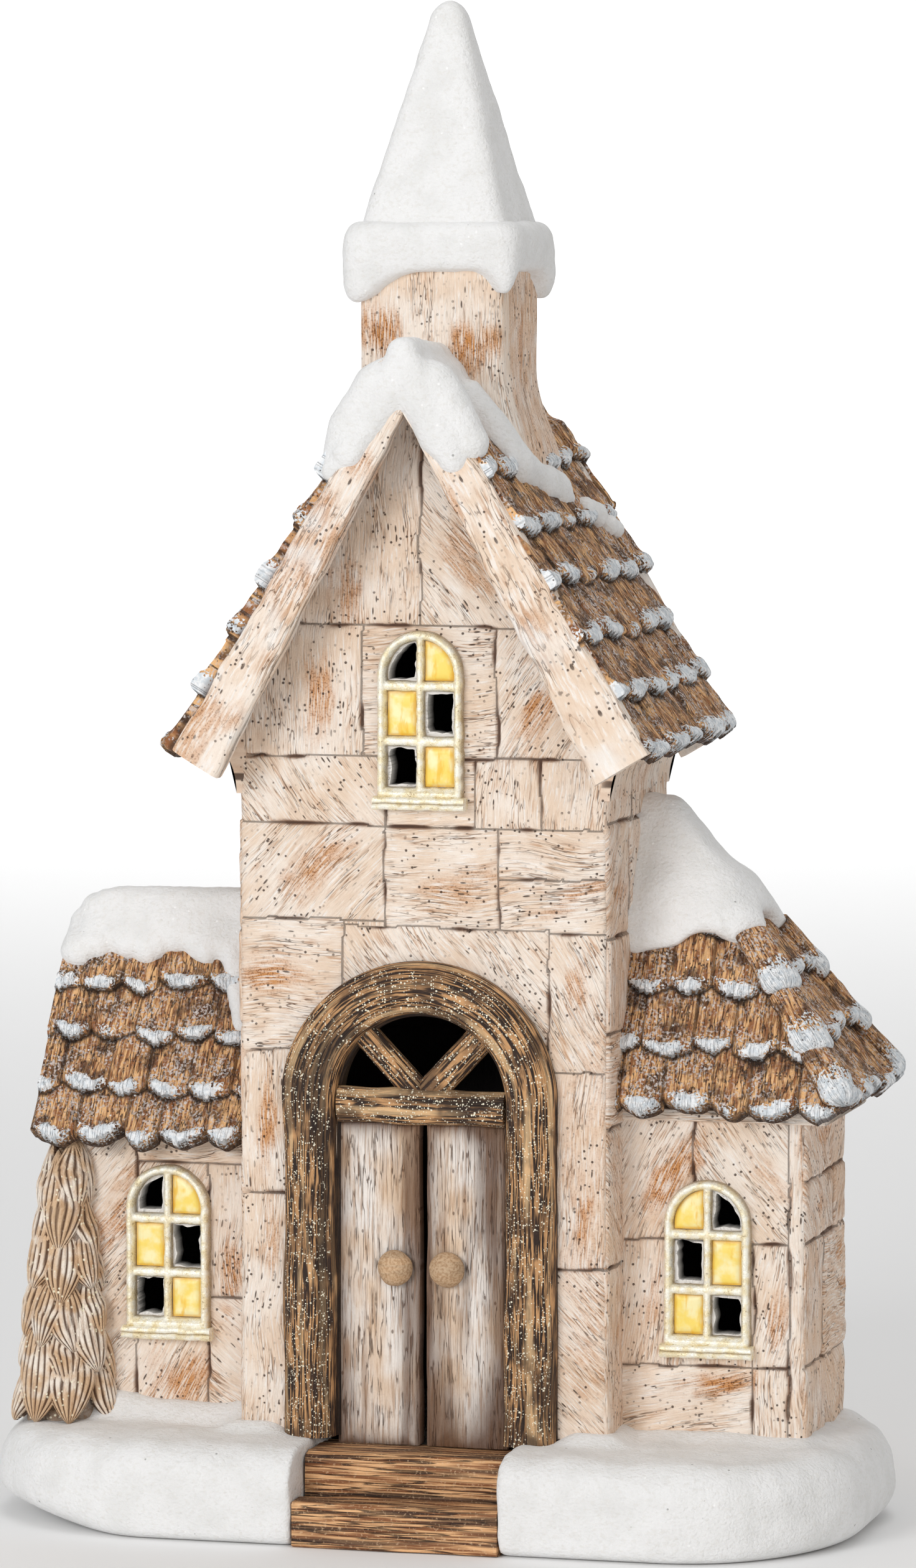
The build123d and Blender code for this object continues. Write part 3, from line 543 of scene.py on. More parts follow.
def snow_paint():
    """Matt white snow with a faint mottle, dark specks and white glints."""
    p = Paint("snow")
    fine, cloud = p.noise(0.6, 5), p.noise(7.0, 4)
    mottle = p.noise(1.0, 3, p.scaled(p.place(), (0.9, 0.9, 1.3)))
    p.colour = p.blend(p.ramp(cloud, 0.4, 0.7, 0.0, 0.8), (241, 241, 241), (232, 232, 231))
    p.layer(p.ramp(mottle, 0.5, 0.7, 0.0, 0.5), (229, 227, 223))
    p.layer(p.times(p.specks(3.6, 0.2, 0.36), 0.6), (112, 110, 106))
    glint = p.specks(1.6, 0.08, 0.3)
    p.layer(glint, (255, 255, 255))
    return p.finish(p.plus(fine, p.times(mottle, 0.8)), 0.3, p.ramp(glint, 0.0, 1.0, 0.75, 0.15))


def timber_paint():
    """Brown carved wood with dark lines and gold glitter on its ridges; worn smooth and pale where marked."""
    p = Paint("timber")
    streak, broad = p.strokes(0.46, 0.06, 4), p.strokes(2.4, 0.05)
    cloud, fine = p.noise(8.0), p.noise(0.5, 4)
    p.colour = p.blend(p.ramp(streak, 0.43, 0.55), (208, 158, 108), (42, 24, 13))
    # Pale broad streaks along the grain: partly the wood's tone and partly painted highlight.
    p.layer(p.ramp(broad, 0.53, 0.63, 0.0, 0.65), (236, 198, 150))
    p.layer(p.ramp(cloud, 0.46, 0.64, 0.0, 0.72), (54, 31, 17))
    p.layer(p.mark("worn"), p.blend(p.ramp(fine, 0.4, 0.64), (214, 184, 150), (184, 148, 112)))
    # Dark carved lines, with painted shade in the doorway's reveal and on the knobs' necks.
    p.hollows(0.15, 0.95, 0.92, (34, 20, 12))
    density = p.times(p.mark("glint"), p.ramp(p.noise(3.0), 0.38, 0.56, 0.2))
    flakes = p.math("MAXIMUM", p.specks(0.48, 0.6, 0.17), p.specks(0.85, 0.5, 0.26))
    glitter = p.times(flakes, p.ramp(density, 0.2, 0.5))
    p.layer(glitter, (255, 248, 224))
    height = p.plus(p.times(streak, 1.2), p.times(fine, 0.3))
    return p.finish(height, 0.6, p.ramp(glitter, 0.0, 1.0, 0.7, 0.3))


def door_board_paint():
    """Greyed boards, pale in the middle and brown along their edges, with fine dark lines."""
    p = Paint("door_board", roughness=0.78)
    streak, broad, fine = p.strokes(0.5, 0.06, 4), p.strokes(2.2, 0.05), p.noise(0.5, 4)
    cloud = p.noise(9.0, 3, p.scaled(p.place(), (1.0, 1.0, 0.5)))
    p.colour = p.blend(p.ramp(cloud, 0.36, 0.64), (250, 243, 236), (232, 205, 178))
    p.layer(p.ramp(streak, 0.48, 0.66, 0.0, 0.6), (178, 138, 103))
    p.layer(p.ramp(broad, 0.54, 0.7, 0.0, 0.5), (138, 98, 66))
    lines = p.times(p.hairs(0.8, 0.05, 0.024), p.ramp(p.noise(5.0), 0.42, 0.58, 0.08, 0.75))
    p.layer(lines, (88, 58, 38))
    knots = p.specks(2.2, 0.14, 0.34, p.scaled(p.place(), (1.0, 1.0, 0.6)))
    p.layer(p.times(knots, 0.7), (84, 56, 36))
    p.hollows(0.0, 1.0, 0.9, (94, 60, 35))
    return p.finish(p.minus(p.plus(streak, p.times(fine, 0.3)), lines), 0.45)


def step_board_paint():
    """Brown plank steps with long dark cracks and worn, pale edges."""
    p = Paint("step_board", roughness=0.66)
    streak, broad, fine = p.strokes(0.6, 0.045, 4), p.strokes(1.8, 0.04), p.noise(0.6, 4)
    p.colour = p.blend(p.ramp(streak, 0.4, 0.6), (236, 184, 132), (138, 86, 48))
    p.layer(p.ramp(broad, 0.5, 0.6, 0.0, 0.82), (62, 36, 19))
    lines = p.times(p.hairs(1.1, 0.04, 0.035), 0.85)
    p.layer(lines, (46, 27, 16))
    p.layer(p.ramp(fine, 0.56, 0.7, 0.0, 0.5), (232, 196, 156))
    p.hollows(0.1, 0.9, 0.9, (44, 26, 16))
    return p.finish(p.minus(p.plus(p.times(streak, 1.1), p.times(fine, 0.4)), lines), 0.4)


def gilt_paint():
    """Pale gold leaf, rubbed through to dark spots."""
    p = Paint("gilt", metallic=0.25)
    fine, cloud = p.noise(0.45, 4), p.noise(2.0)
    p.colour = p.blend(p.ramp(cloud, 0.38, 0.64), (255, 252, 238), (246, 232, 194))
    p.layer(p.ramp(p.plus(fine, p.times(cloud, 0.5)), 0.88, 0.99, 0.0, 0.55), (140, 110, 66))
    p.hollows(0.2, 1.0, 0.8, (138, 108, 62))
    return p.finish(fine, 0.2, p.ramp(fine, 0.35, 0.7, 0.25, 0.5))


def pane_paint():
    """Yellow painted panes with deeper streaks."""
    p = Paint("pane", roughness=0.38)
    streak = p.noise(1.5, 3, p.scaled(p.place(), (1.0, 1.0, 0.25)))
    p.colour = p.blend(p.ramp(p.noise(3.6), 0.36, 0.62), (255, 244, 186), (253, 224, 108))
    p.layer(p.ramp(streak, 0.54, 0.7, 0.0, 0.75), (247, 194, 48))
    p.hollows(0.3, 1.0, 0.6, (238, 172, 40))
    return p.finish(streak, 0.15)


def fir_paint():
    """Cream clay fir with brown in its carved lines and gold glitter."""
    p = Paint("fir")
    streak, cloud, fine = p.strokes(0.7, 0.15, 4), p.noise(5.0), p.noise(0.45, 4)
    p.colour = p.blend(p.ramp(cloud, 0.38, 0.62), (252, 240, 226), (224, 190, 154))
    p.layer(p.ramp(streak, 0.5, 0.68, 0.0, 0.55), (184, 140, 100))
    # Brown in the carved lines, with painted shade on the core and the backs of the boughs.
    p.hollows(0.15, 0.85, 0.95, (84, 52, 28))
    glitter = p.times(p.specks(0.9, 0.45, 0.34), p.ramp(p.noise(4.5), 0.44, 0.58))
    p.layer(glitter, (255, 246, 220))
    return p.finish(p.plus(streak, fine), 0.4, p.ramp(glitter, 0.0, 1.0, 0.78, 0.3))


def plain_paint(name, light, dark, roughness, metallic=0.0, size=2.0):
    """Moulded or plated finish with a faint mottle and grain."""
    p = Paint(name, roughness, metallic)
    p.colour = p.blend(p.ramp(p.noise(size), 0.3, 0.7), light, dark)
    return p.finish(p.noise(size / 8), 0.02)


paints = {
    "plaster": plaster_paint(),
    "shingle": shingle_paint(),
    "snow": snow_paint(),
    "timber": timber_paint(),
    "door_board": door_board_paint(),
    "step_board": step_board_paint(),
    "gilt": gilt_paint(),
    "pane": pane_paint(),
    "fir": fir_paint(),
    "lamp_plastic": plain_paint("lamp_plastic", (238, 237, 232), (228, 227, 221), 0.5),
    "battery_can": plain_paint("battery_can", (74, 84, 94), (58, 66, 76), 0.35, 0.4),
    "contact_metal": plain_paint("contact_metal", (206, 204, 198), (182, 180, 174), 0.3, 1.0, 0.8),
    "circuit_board": plain_paint("circuit_board", (54, 112, 70), (40, 94, 56), 0.5),
    "led": plain_paint("led", (250, 226, 130), (240, 206, 96), 0.3),
    "lens": plain_paint("lens", (240, 240, 236), (230, 230, 226), 0.25),
    "band": plain_paint("band", (214, 214, 210), (200, 200, 196), 0.7),
}


def fit(piece, slot, *nodes):
    """Paints a piece, sets it on the house and lets it stand for CAD nodes."""
    piece.data.materials.clear()
    piece.data.materials.append(paints[slot])
    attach(piece, "house")
    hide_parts(*nodes)


# Outlines, negative inside


def box_outline(u, v, u0, u1, v0, v1):
    """Distance to a rectangle."""
    return np.maximum.reduce([u0 - u, u - u1, v0 - v, v - v1])


def arch_outline(u, v, centre, half, foot, crown):
    """Distance to an arched opening with a half-round head."""
    spring = crown - half
    sides = np.maximum(np.abs(u - centre) - half, foot - v)
    return np.where(v > spring, np.hypot(u - centre, v - spring) - half, sides)


def window_outline(u, v, window, inset):
    """Distance to a window's arch, drawn in on all sides."""
    foot, crown = window.sill + inset, window.sill + window_height - inset
    return arch_outline(u, v, window.x, window_width / 2 - inset, foot, crown)


def window_lights(window):
    """The six lights of a window, pierced in a chequered order."""
    edge = window_width / 2 - window_border
    lower, upper = (window.sill + window_height * share for share in (1 / 3, 2 / 3))
    levels = (
        (upper + window_rail / 2, window.sill + window_height - window_border),
        (lower + window_rail / 2, upper - window_rail / 2),
        (window.sill + window_border, lower - window_rail / 2),
    )
    for level, (bottom, top) in enumerate(levels):
        for side, (start, end) in enumerate(((-edge, -window_bar / 2), (window_bar / 2, edge))):
            pierced = (level + side) % 2 == (0 if window.upper_left_pierced else 1)
            yield Light(window.x + start, window.x + end, bottom, top, pierced)


def light_outline(u, v, window, light):
    """Distance to one light, cut to the window's arched field."""
    return np.maximum(window_outline(u, v, window, window_border), box_outline(u, v, *light[:4]))


def piercing_outline(u, v, window):
    """Distance to the ragged holes behind a window's pierced lights."""
    margin = 0.45
    ragged = 0.45 * noise(spot(u, v, window.face), 2.3, 31) + 0.25 * noise(spot(u, v, 5.0), 1.1, 32)
    holes = [light_outline(u, v, window, light) for light in window_lights(window) if light.pierced]
    return np.minimum.reduce(holes) + margin + ragged


# Walls


def brushed(u, v, turn, ident):
    """Brush coordinates: across the strokes, along them, and a number for the stone."""
    c, s = cos(radians(turn)), sin(radians(turn))
    return spot(v * c - u * s, u * c + v * s, ident * 13.7)


def masonry(stones, rusts, seed, rounded, window=None):
    """Surface of a wall of brushed stones, rounded off towards two places across it.

    Each stone is left, right, bottom, top and stroke direction, and each rust patch is across, up, half
    length, half width, direction and strength.
    """

    def surface(u, v):
        here = spot(u, v, seed * 7.3)
        across = u + 0.5 * noise(here, 8.0, seed) + 0.2 * noise(here, 2.5, seed + 10)
        upward = v + 0.45 * noise(here, 10.0, seed + 1) + 0.2 * noise(here, 2.5, seed + 11)
        wavy_u, wavy_v = u + 0.9 * noise(here, 11.0, seed + 12), v + 0.9 * noise(here, 11.0, seed + 2)
        edge, lift = np.full(u.shape, 9.0), np.zeros(u.shape)
        grain = spot(wavy_u, wavy_v, 0.0)
        for number, (left, right, bottom, top, angle) in enumerate(stones):
            depth = -box_outline(across, upward, left, right, bottom, top)
            within = depth >= 0
            edge = np.where(within, depth, edge)
            grain = np.where(within[:, None], brushed(wavy_u, wavy_v, angle, number), grain)
            lift = np.where(within, 0.5 * sin(number * 2.4 + seed), lift)
        strokes = noise(grain * (1.0, 0.09, 1.0), 1.3, seed + 3)
        broad = noise(grain * (1.0, 0.2, 1.0), 3.6, seed + 4)
        furrow = smooth(0.3, 0.0, np.abs(noise(grain * (1.0, 0.08, 1.0), 1.3, seed + 13)))
        groove = smooth(0.6, 0.2, edge) * np.clip(0.42 + 1.2 * noise(here, 4.5, seed + 5), 0.04, 1.0)
        relief = 0.4 * lift + 0.3 * noise(here, 17.0, seed + 6) + 0.11 * strokes + 0.18 * broad - 0.1 * furrow
        relief += 0.14 * noise(here, 2.4, seed + 7) - 0.8 * groove - 0.35 * np.exp(-edge / 0.8)
        cavity = np.clip(0.9 * groove + 0.14 * np.exp(-edge / 1.0) + 0.1 * furrow, 0, 1)
        ragged = 0.55 * noise(grain * (1.0, 0.3, 1.0), 2.6, seed + 8)
        crumbled = 0.2 * noise(here, 1.4, seed + 9)
        stain_and_shade = np.zeros(u.shape)
        for x, z, length, width, angle, strength in rusts:
            local = brushed(u - x, v - z, angle, 0.0)
            far = np.hypot(local[..., 1] / length, local[..., 0] / width) + ragged + crumbled
            stain_and_shade = np.maximum(stain_and_shade, strength * smooth(1.25, 0.1, far))
        away = np.clip(1 - np.minimum(u - rounded[0], rounded[1] - u) / corner_radius, 0, 1)
        relief -= corner_inset * (1 - np.sqrt(1 - away**2))
        bare = np.zeros(u.shape)
        if window is not None:
            under_frame = window_outline(u, v, window, window_border / 2)
            bare = smooth(0.3, -0.3, under_frame)
            relief = relief * (1 - smooth(1.5, 0.0, under_frame))
        return relief, {"grain": grain, "cavity": cavity * (1 - bare), "rust": stain_and_shade, "bare": bare}

    return surface


def wall(name, node, place, low, high, step, surface, cut=None):
    """Brushed clay wall over a panel, left away where cut is positive."""

    def outline(u, v):
        panel = box_outline(u, v, low[0], high[0], low[1], high[1])
        return panel if cut is None else np.maximum(panel, cut(u, v))

    fit(slab(name, place, low, high, step, outline, surface, even(clay_wall)), "plaster", node)


def coursed_wall(name, node, place, low, high, step, levels, seeds, patches, rounded, wash=(), cut=None):
    """Wall of stones laid in courses with broken joints, with rust patches at random places."""
    laying, rusting, brushing = seeds
    beyond, below, above = 9, 9, 60
    rng = np.random.default_rng(laying)
    stones = []
    levels = (low[1] - below, *levels, high[1] + above)
    for bottom, top in zip(levels, levels[1:]):
        joint = low[0] + (high[0] - low[0]) * rng.uniform(0.3, 0.7)
        for left, right in ((low[0] - beyond, joint), (joint, high[0] + beyond)):
            stones.append((left, right, bottom, top, rng.choice((0, 90, 50, -50, 75))))
    rng = np.random.default_rng(rusting)
    # Given wash patches go in before the random ones; the flank tint among them is painted shade on the side
    # walls.
    rusts, strength = list(wash), 0.8
    for x, z in rng.uniform(low, high, (patches, 2)):
        rusts.append((x, z, rng.uniform(5, 10), rng.uniform(2, 4), rng.choice((40, 60, 90, 0)), strength))
    wall(name, node, place, low, high, step, masonry(stones, rusts, brushing, rounded), cut)


tower_stones = (
    (-50, -0.4, 190.5, 260, 90),
    (-0.4, 50, 190.5, 260, -48),
    (-50, -12.8, 163, 190.5, 88),
    (-12.8, 15.9, 163, 190.5, 4),
    (15.9, 50, 163, 190.5, 55),
    (-50, -8, 148.6, 163, -52),
    (-8, 11.4, 148.4, 163, 5),
    (11.4, 25.6, 148.3, 163, 86),
    (25.6, 50, 148.3, 163, 80),
    (-50, -8.1, 128.6, 148.6, 48),
    (-8.1, 16.4, 127.6, 148.4, 3),
    (16.4, 50, 138.2, 148.3, -4),
    (16.4, 50, 126.8, 138.2, 6),
    (-50, -17.1, 101.1, 128.6, 2),
    (-17.1, 27.2, 60, 127.6, -50),
    (27.2, 50, 98.3, 126.8, -62),
    (-50, -17.1, 71, 101.1, 90),
    (-50, -17.1, 0, 71, 88),
    (27.2, 50, 57, 98.3, 86),
    (27.2, 50, 0, 57, -46),
)
tower_rusts = (
    (-16.5, 199, 10, 3.0, 88, 0.7),
    (-22.5, 176, 10, 3.2, 85, 0.9),
    (25.6, 173, 10, 4.0, 55, 0.9),
    (10, 204, 9, 4, -48, 0.55),
    (-24, 139, 11, 4.5, 50, 0.95),
    (-33, 117, 8, 4.5, 10, 0.95),
    (33, 135, 9, 3, 20, 0.6),
    (34, 117, 9, 4, 70, 0.7),
    (9, 136, 10, 4, 10, 0.55),
    (-34, 84, 11, 2.6, 88, 0.9),
    (-33, 60, 9, 2.4, 88, 0.6),
    (36, 70, 12, 2.6, 86, 0.9),
    (36, 40, 9, 3, 60, 0.35),
    (38, 70, 60, 9, 88, 0.3),
)
# Rust-coloured tint over a whole flank at a third of full strength: painted shade on the side walls.
flank_shade_tint = (0, 90, 150, 90, 90, 0.3)
left_stones = (
    (-99, -66.5, 0, 150, 48),
    (-66.5, -30, 74.5, 150, 2),
    (-66.5, -50.5, 0, 74.5, 62),
    (-50.5, -30, 46, 74.5, 88),
    (-50.5, -30, 0, 46, -35),
)
left_rusts = (
    (-70.5, 64, 11, 4.5, 50, 0.9),
    (-56, 28, 8, 5, 30, 0.9),
    (-46, 52, 10, 2.5, 85, 0.85),
    (-62, 34, 7, 3, 70, 0.3),
)
right_stones = (
    (30, 55, 62, 120, 66),
    (55, 75.4, 62, 120, -50),
    (30, 68, 35.8, 62, 84),
    (68, 75.4, 35.8, 62, 80),
    (30, 68, 0, 35.8, 12),
    (68, 75.4, 0, 35.8, 88),
    (75.4, 99, 0, 120, 90),
)
right_rusts = (
    (51, 76, 10, 4.5, 66, 0.95),
    (60, 32, 9, 3.6, 12, 0.95),
    (73, 45, 8, 2.2, 82, 0.6),
    (78.5, 78, 9, 1.6, 90, 0.7),
    (46, 48, 7, 2.5, 80, 0.4),
    (72, 74, 7, 3, -50, 0.4),
)
front_step, rear_step, flank_step = 0.42, 0.7, 0.6


def front_plane(y):
    """Panel that faces the front."""
    return plane((0, y, 0), (1, 0, 0))


def rear_plane(y):
    """Panel that faces the back."""
    return plane((0, y, 0), (-1, 0, 0))


def gable_line(x):
    """Height of the main roof's underside over a place across the tower."""
    return tower_high[2] - np.abs(x) * tan(main_pitch)


def build_tower():
    """Four brushed stone walls, the front one in two halves."""
    tuck, split = 1.5, 127.6
    side, reach = tower_side - corner_inset, tower_high[1] - corner_inset

    def gable(u, v):
        return (v - tuck - gable_line(u)) * cos(main_pitch)

    def openings(u, v):
        doorway = -arch_outline(u, v, 0.0, door_half, 0.0, door_crown)
        return np.maximum.reduce([gable(u, v), doorway, -piercing_outline(u, v, windows["gable"])])

    peak = tower_high[2] + 2
    stonework = masonry(tower_stones, tower_rusts, 3, (-side, side), windows["gable"])
    for name, bottom, top in (("lower", ground, split), ("upper", split, peak)):
        wall(f"tower_front_{name}", "tower_walls", front_plane(tower_front), (-side, bottom), (side, top),
             front_step, stonework, openings)
    rear = rear_plane(tower_high[1])
    coursed_wall("tower_rear", "tower_walls", rear, (-side, ground), (side, peak), rear_step,
                 levels=(46, 71, 101, 127, 149, 163, 190), seeds=(5, 6, 11), patches=9,
                 rounded=(-side, side), cut=gable)
    eave = gable_line(tower_side) + tuck
    for hand, name in ((1, "right"), (-1, "left")):
        flank, seeds = plane((hand * tower_side, 0, 0), (0, hand, 0)), (8, 9 + hand, 17 + hand)
        # Both flanks take the rust-coloured tint, painted shade on the side walls.
        coursed_wall(f"tower_{name}", "tower_walls", flank, (-reach, ground), (reach, eave), flank_step,
                     levels=(57, 86, 106, 126, 149.8, 161), seeds=seeds, patches=9,
                     rounded=(-reach, reach), wash=(flank_shade_tint,))


def build_wing(name, side, box, top, surface, rear, end):
    """Front, rear and end walls of a wing; side is -1 for the left one and 1 for the right one.

    The rear and the end are given as levels of the courses, seeds and number of rust patches, and the end
    also as its top, step, wash and cut.
    """
    low, high = box
    node = f"{name}_wing_walls"
    face, root = (low[0], high[0]) if side < 0 else (high[0], low[0])
    outer, inner = face - side * corner_inset, root - side
    left, right = sorted((outer, inner))
    rounded = (outer, far_away) if side < 0 else (-far_away, outer)

    def pierced(u, v):
        return -piercing_outline(u, v, windows[name])

    wall(f"{name}_wing_front", node, front_plane(low[1]), (left, ground), (right, top), front_step,
         masonry(*surface, rounded, windows[name]), pierced)
    levels, seeds, patches = rear
    coursed_wall(f"{name}_wing_rear", node, rear_plane(high[1]), (-right, ground), (-left, top), rear_step,
                 levels, seeds, patches, (-rounded[1], -rounded[0]))
    levels, seeds, patches, end_top, step, wash, cut = end
    near, far = sorted((side * (low[1] + corner_inset), side * (high[1] - corner_inset)))
    end_plane = plane((face, 0, 0), (0, side, 0))
    coursed_wall(f"{name}_wing_end", node, end_plane, (near, ground), (far, end_top), step, levels, seeds,
                 patches, (near, far), wash, cut)


def left_gable_line(run):
    """Height of the left roof's underside over a place across the left wing."""
    return left_high[2] - np.abs(run - wing_centre) * tan(left_pitch)


def build_wings():
    """Walls of the gabled left wing and of the right wing."""
    tuck = 1

    def gable(u, v):
        return (v - tuck - left_gable_line(-u)) * cos(left_pitch)

    top = left_gable_line(left_low[1]) + tuck
    build_wing("left", -1, (left_low, left_high), top, (left_stones, left_rusts, 23),
               ((35, 52, 68), (12, 13, 27), 4),
               ((38, 57, 76, 95), (14, 15, 29), 5, left_high[2] + tuck, flank_step, (), gable))
    top = right_high[2] + tuck
    # The right end takes the rust-coloured flank tint as painted shade.
    build_wing("right", 1, (right_low, right_high), top, (right_stones, right_rusts, 33),
               ((36, 54, 70), (16, 17, 37), 4),
               ((36, 62, 75), (18, 19, 39), 6, top, 0.55, (flank_shade_tint,), None))


# Shingled roofs


class Shingles:
    """Courses of hand-cut shingles with ragged, frosted tips; flat where snow covers the slope."""

    def __init__(self, span, exposure, width, courses, frost, bed, seed, thickness=3.4, drip=1.4):
        self.exposure, self.courses, self.thickness = exposure, courses, thickness
        self.drip, self.bed, self.seed = drip, bed, seed
        rng = np.random.default_rng(seed)
        count = max(2, round((span[1] - span[0]) / width))
        pitch, jitter = (span[1] - span[0]) / count, 0.13
        ranges = {
            "drop": (-0.9, 0.9),
            "lift": (-0.45, 0.6),
            "slant": (-0.9, 0.9),
            "bare": (0.0, 1.0),
            "width": (0.78, 1.08),
            "height": (0.8 * frost, 1.15 * frost),
            "off": (-0.16, 0.16),
        }
        self.rows = []
        for course in range(courses + 1):
            edges = span[0] + pitch * (np.arange(-1, count + 2) + 0.5 * (course % 2))
            edges = edges + rng.uniform(-jitter, jitter, len(edges)) * pitch
            row = {key: rng.uniform(*limits, len(edges)) for key, limits in ranges.items()}
            self.rows.append({"edges": edges, **row})

    def shingle_at(self, course, u):
        """Number of the shingle at a place in a course, and the place across it from -1 to 1."""
        edges = self.rows[course]["edges"]
        number = np.clip(np.searchsorted(edges, u) - 1, 0, len(edges) - 2)
        half = (edges[number + 1] - edges[number]) / 2
        return number, (u - edges[number] - half) / half

    def tip(self, course, u):
        """Lower edge of a course."""
        row = self.rows[course]
        number, t = self.shingle_at(course, u)
        level = course * self.exposure - self.drip + row["drop"][number] + row["slant"][number] * t
        ragged = 0.45 * noise(spot(u, course * 9.1, self.seed), 1.9, self.seed)
        return level + 2.1 * np.abs(t) ** 2.0 + ragged

    def surface(self, u, v):
        """Relief and marks of the slope."""
        here, thin, bald_share = spot(u, v, self.seed), 0.45, 0.06
        relief = np.full(u.shape, 0.2)
        dab, cavity, ident = np.zeros((3, *u.shape))
        gaps = np.clip(0.15 + 0.6 * noise(here, 5.0, self.seed + 7), 0, 0.5)
        for course in range(self.courses + 1):
            row = self.rows[course]
            number, t = self.shingle_at(course, u)
            run = v - self.tip(course, u)
            covered = run >= 0
            full = self.thickness * (1 - 0.6 * run / (self.exposure + 2.5)) + row["lift"][number]
            full -= 0.5 * t**2 + 0.35 * smooth(0.85, 1.0, np.abs(t))
            nose = np.sqrt(1 - (1 - np.clip(run / 1.5, 0, 1)) ** 2)
            body = thin + (full - thin) * (0.3 + 0.7 * nose)
            rise = row["height"][number]
            across = (t - row["off"][number]) / row["width"][number]
            upward = (run - 0.55 * rise) / rise
            patch = 1.2 - np.abs(across) ** 1.25 - np.abs(upward) ** 1.7
            patch = np.where(row["bare"][number] < bald_share, patch - 0.6, patch)
            patch = np.clip(patch + 0.35 * noise(spot(u, v, course * 3.3), 1.7, self.seed + 3), -0.4, 1)
            # Painted shade darkens each shingle's sides into the gaps.
            slit = smooth(0.88, 1.0, np.abs(t)) * gaps
            relief = np.where(covered, body, relief)
            dab = np.where(covered, patch, dab)
            # Painted shadow: a dark band just below each course's tips.
            cavity = np.where(covered, slit, np.maximum(cavity, 0.78 * smooth(-1.5, -0.1, run)))
            ident = np.where(covered, course * 31 + number, ident)
        ribs = noise(spot(u, v * 0.12, ident), 1.3, self.seed + 4)
        relief += 0.3 * ribs + 0.28 * noise(here, 2.6, self.seed + 5)
        frost = smooth(0.12, 0.5, dab)
        relief += 0.8 * frost * np.clip(dab + 0.25, 0, 1) + 0.2 * frost * noise(here, 0.9, self.seed + 6)
        cavity = np.clip(cavity + 0.35 * smooth(-0.2, -0.8, ribs), 0, 1) * (1 - frost)
        shown, level = smooth(self.bed + 3.0, self.bed - 1.0, v), 0.3
        grain, dab = spot(u, v, ident * 7.1), np.clip(dab, 0, 1) * shown
        return level + (relief - level) * shown, {"grain": grain, "dab": dab, "cavity": cavity * shown}


def shingled(name, node, slope, half, length, depth, sides, **sizes):
    """One shingled slope; sides is the distance to its two side edges."""
    cover = Shingles((-half, half), **sizes)
    exposure, seed, drip = cover.exposure, cover.seed, cover.drip

    def outline(u, v):
        ends = 0.9 * noise(spot(np.floor((v + 1) / exposure) * 3.0, np.sign(u) * 5, seed), 1.0, seed)
        return np.maximum.reduce([sides(u, v) + ends, cover.tip(0, u) - v, v - length])

    def underside(v):
        return shingle_edge + (depth - shingle_edge) * smooth(0.0, 8.0, v)

    low, high = (-half - 2.5, -drip - 2.6), (half + 2.5, length)
    fit(slab(name, plane(*slope), low, high, 0.45, outline, cover.surface, underside), "shingle", node)


def build_main_roof():
    """Two slopes between the gable boards, with coves under their eaves."""
    sine, cosine = sin(main_pitch), cos(main_pitch)
    half = barge_end - 0.6

    def ends(u, v):
        return np.maximum(-half - u, u - half)

    for side, node in ((1, "main_roof_right"), (-1, "main_roof_left")):
        slope = ((side * eave_reach, 0, eave_height), (0, side, 0), (-side * cosine, 0, sine))
        shingled(node + "_slope", node, slope, half, eave_reach / cosine - 1.2, 4.4, ends, exposure=13.3,
                 width=15.4, courses=6, frost=3.5 - 0.6 * side, bed=76.0, seed=41 + side, thickness=3.0)
        build_eave_cove(side, node)


def build_eave_cove(side, node):
    """Hollow curve of clay between a main eave and the tower's flank."""
    lip, lip_height, foot = eave_reach - 4.9, eave_height - 0.7, eave_height - 10.2
    back, end = tower_side - 2, -tower_front - 0.3
    turn = np.linspace(0, pi / 2, 14)
    x = np.append(lip - (lip - tower_side) * np.cos(turn), (lip, back, back))
    z = np.append(foot + (lip_height - foot) * np.sin(turn), (lip_height + 3, lip_height + 12, foot))
    points, faces = tube_arrays(np.array([spot(side * x, y, z) for y in np.linspace(-end, end, 12)]))
    marks = clay(spot(points[:, 1], points[:, 2], 4.0), 0.5 * smooth(0.1, 0.6, noise(points, 8.0, 57)))
    fit(add_mesh(node + "_cove", points, faces, marks, 30), "plaster", node)


def build_left_roof():
    """Two slopes of the left wing, cut back at the top of the gable end."""
    sine, cosine = sin(left_pitch), cos(left_pitch)
    start, end = cad("left_roof_front")[0][0], -tower_side
    middle, half = (start + end) / 2, (end - start) / 2
    eave = left_ridge - wing_eave_run * tan(left_pitch)
    length = wing_eave_run / cosine - 1.5
    for side, node in ((-1, "left_roof_front"), (1, "left_roof_rear")):
        slope = ((middle, wing_centre + side * wing_eave_run, eave), (-side, 0, 0), (0, -side * cosine, sine))

        def ends(u, v):
            cut = 3.5 * smooth(length - 9, length, v)
            return np.maximum(u * side - half + cut, -u * side - half)

        shingled(node + "_slope", node, slope, half, length, 4.0, ends, exposure=11.8, width=10.2, courses=4,
                 frost=2.3, bed=44.0, seed=45 + side)


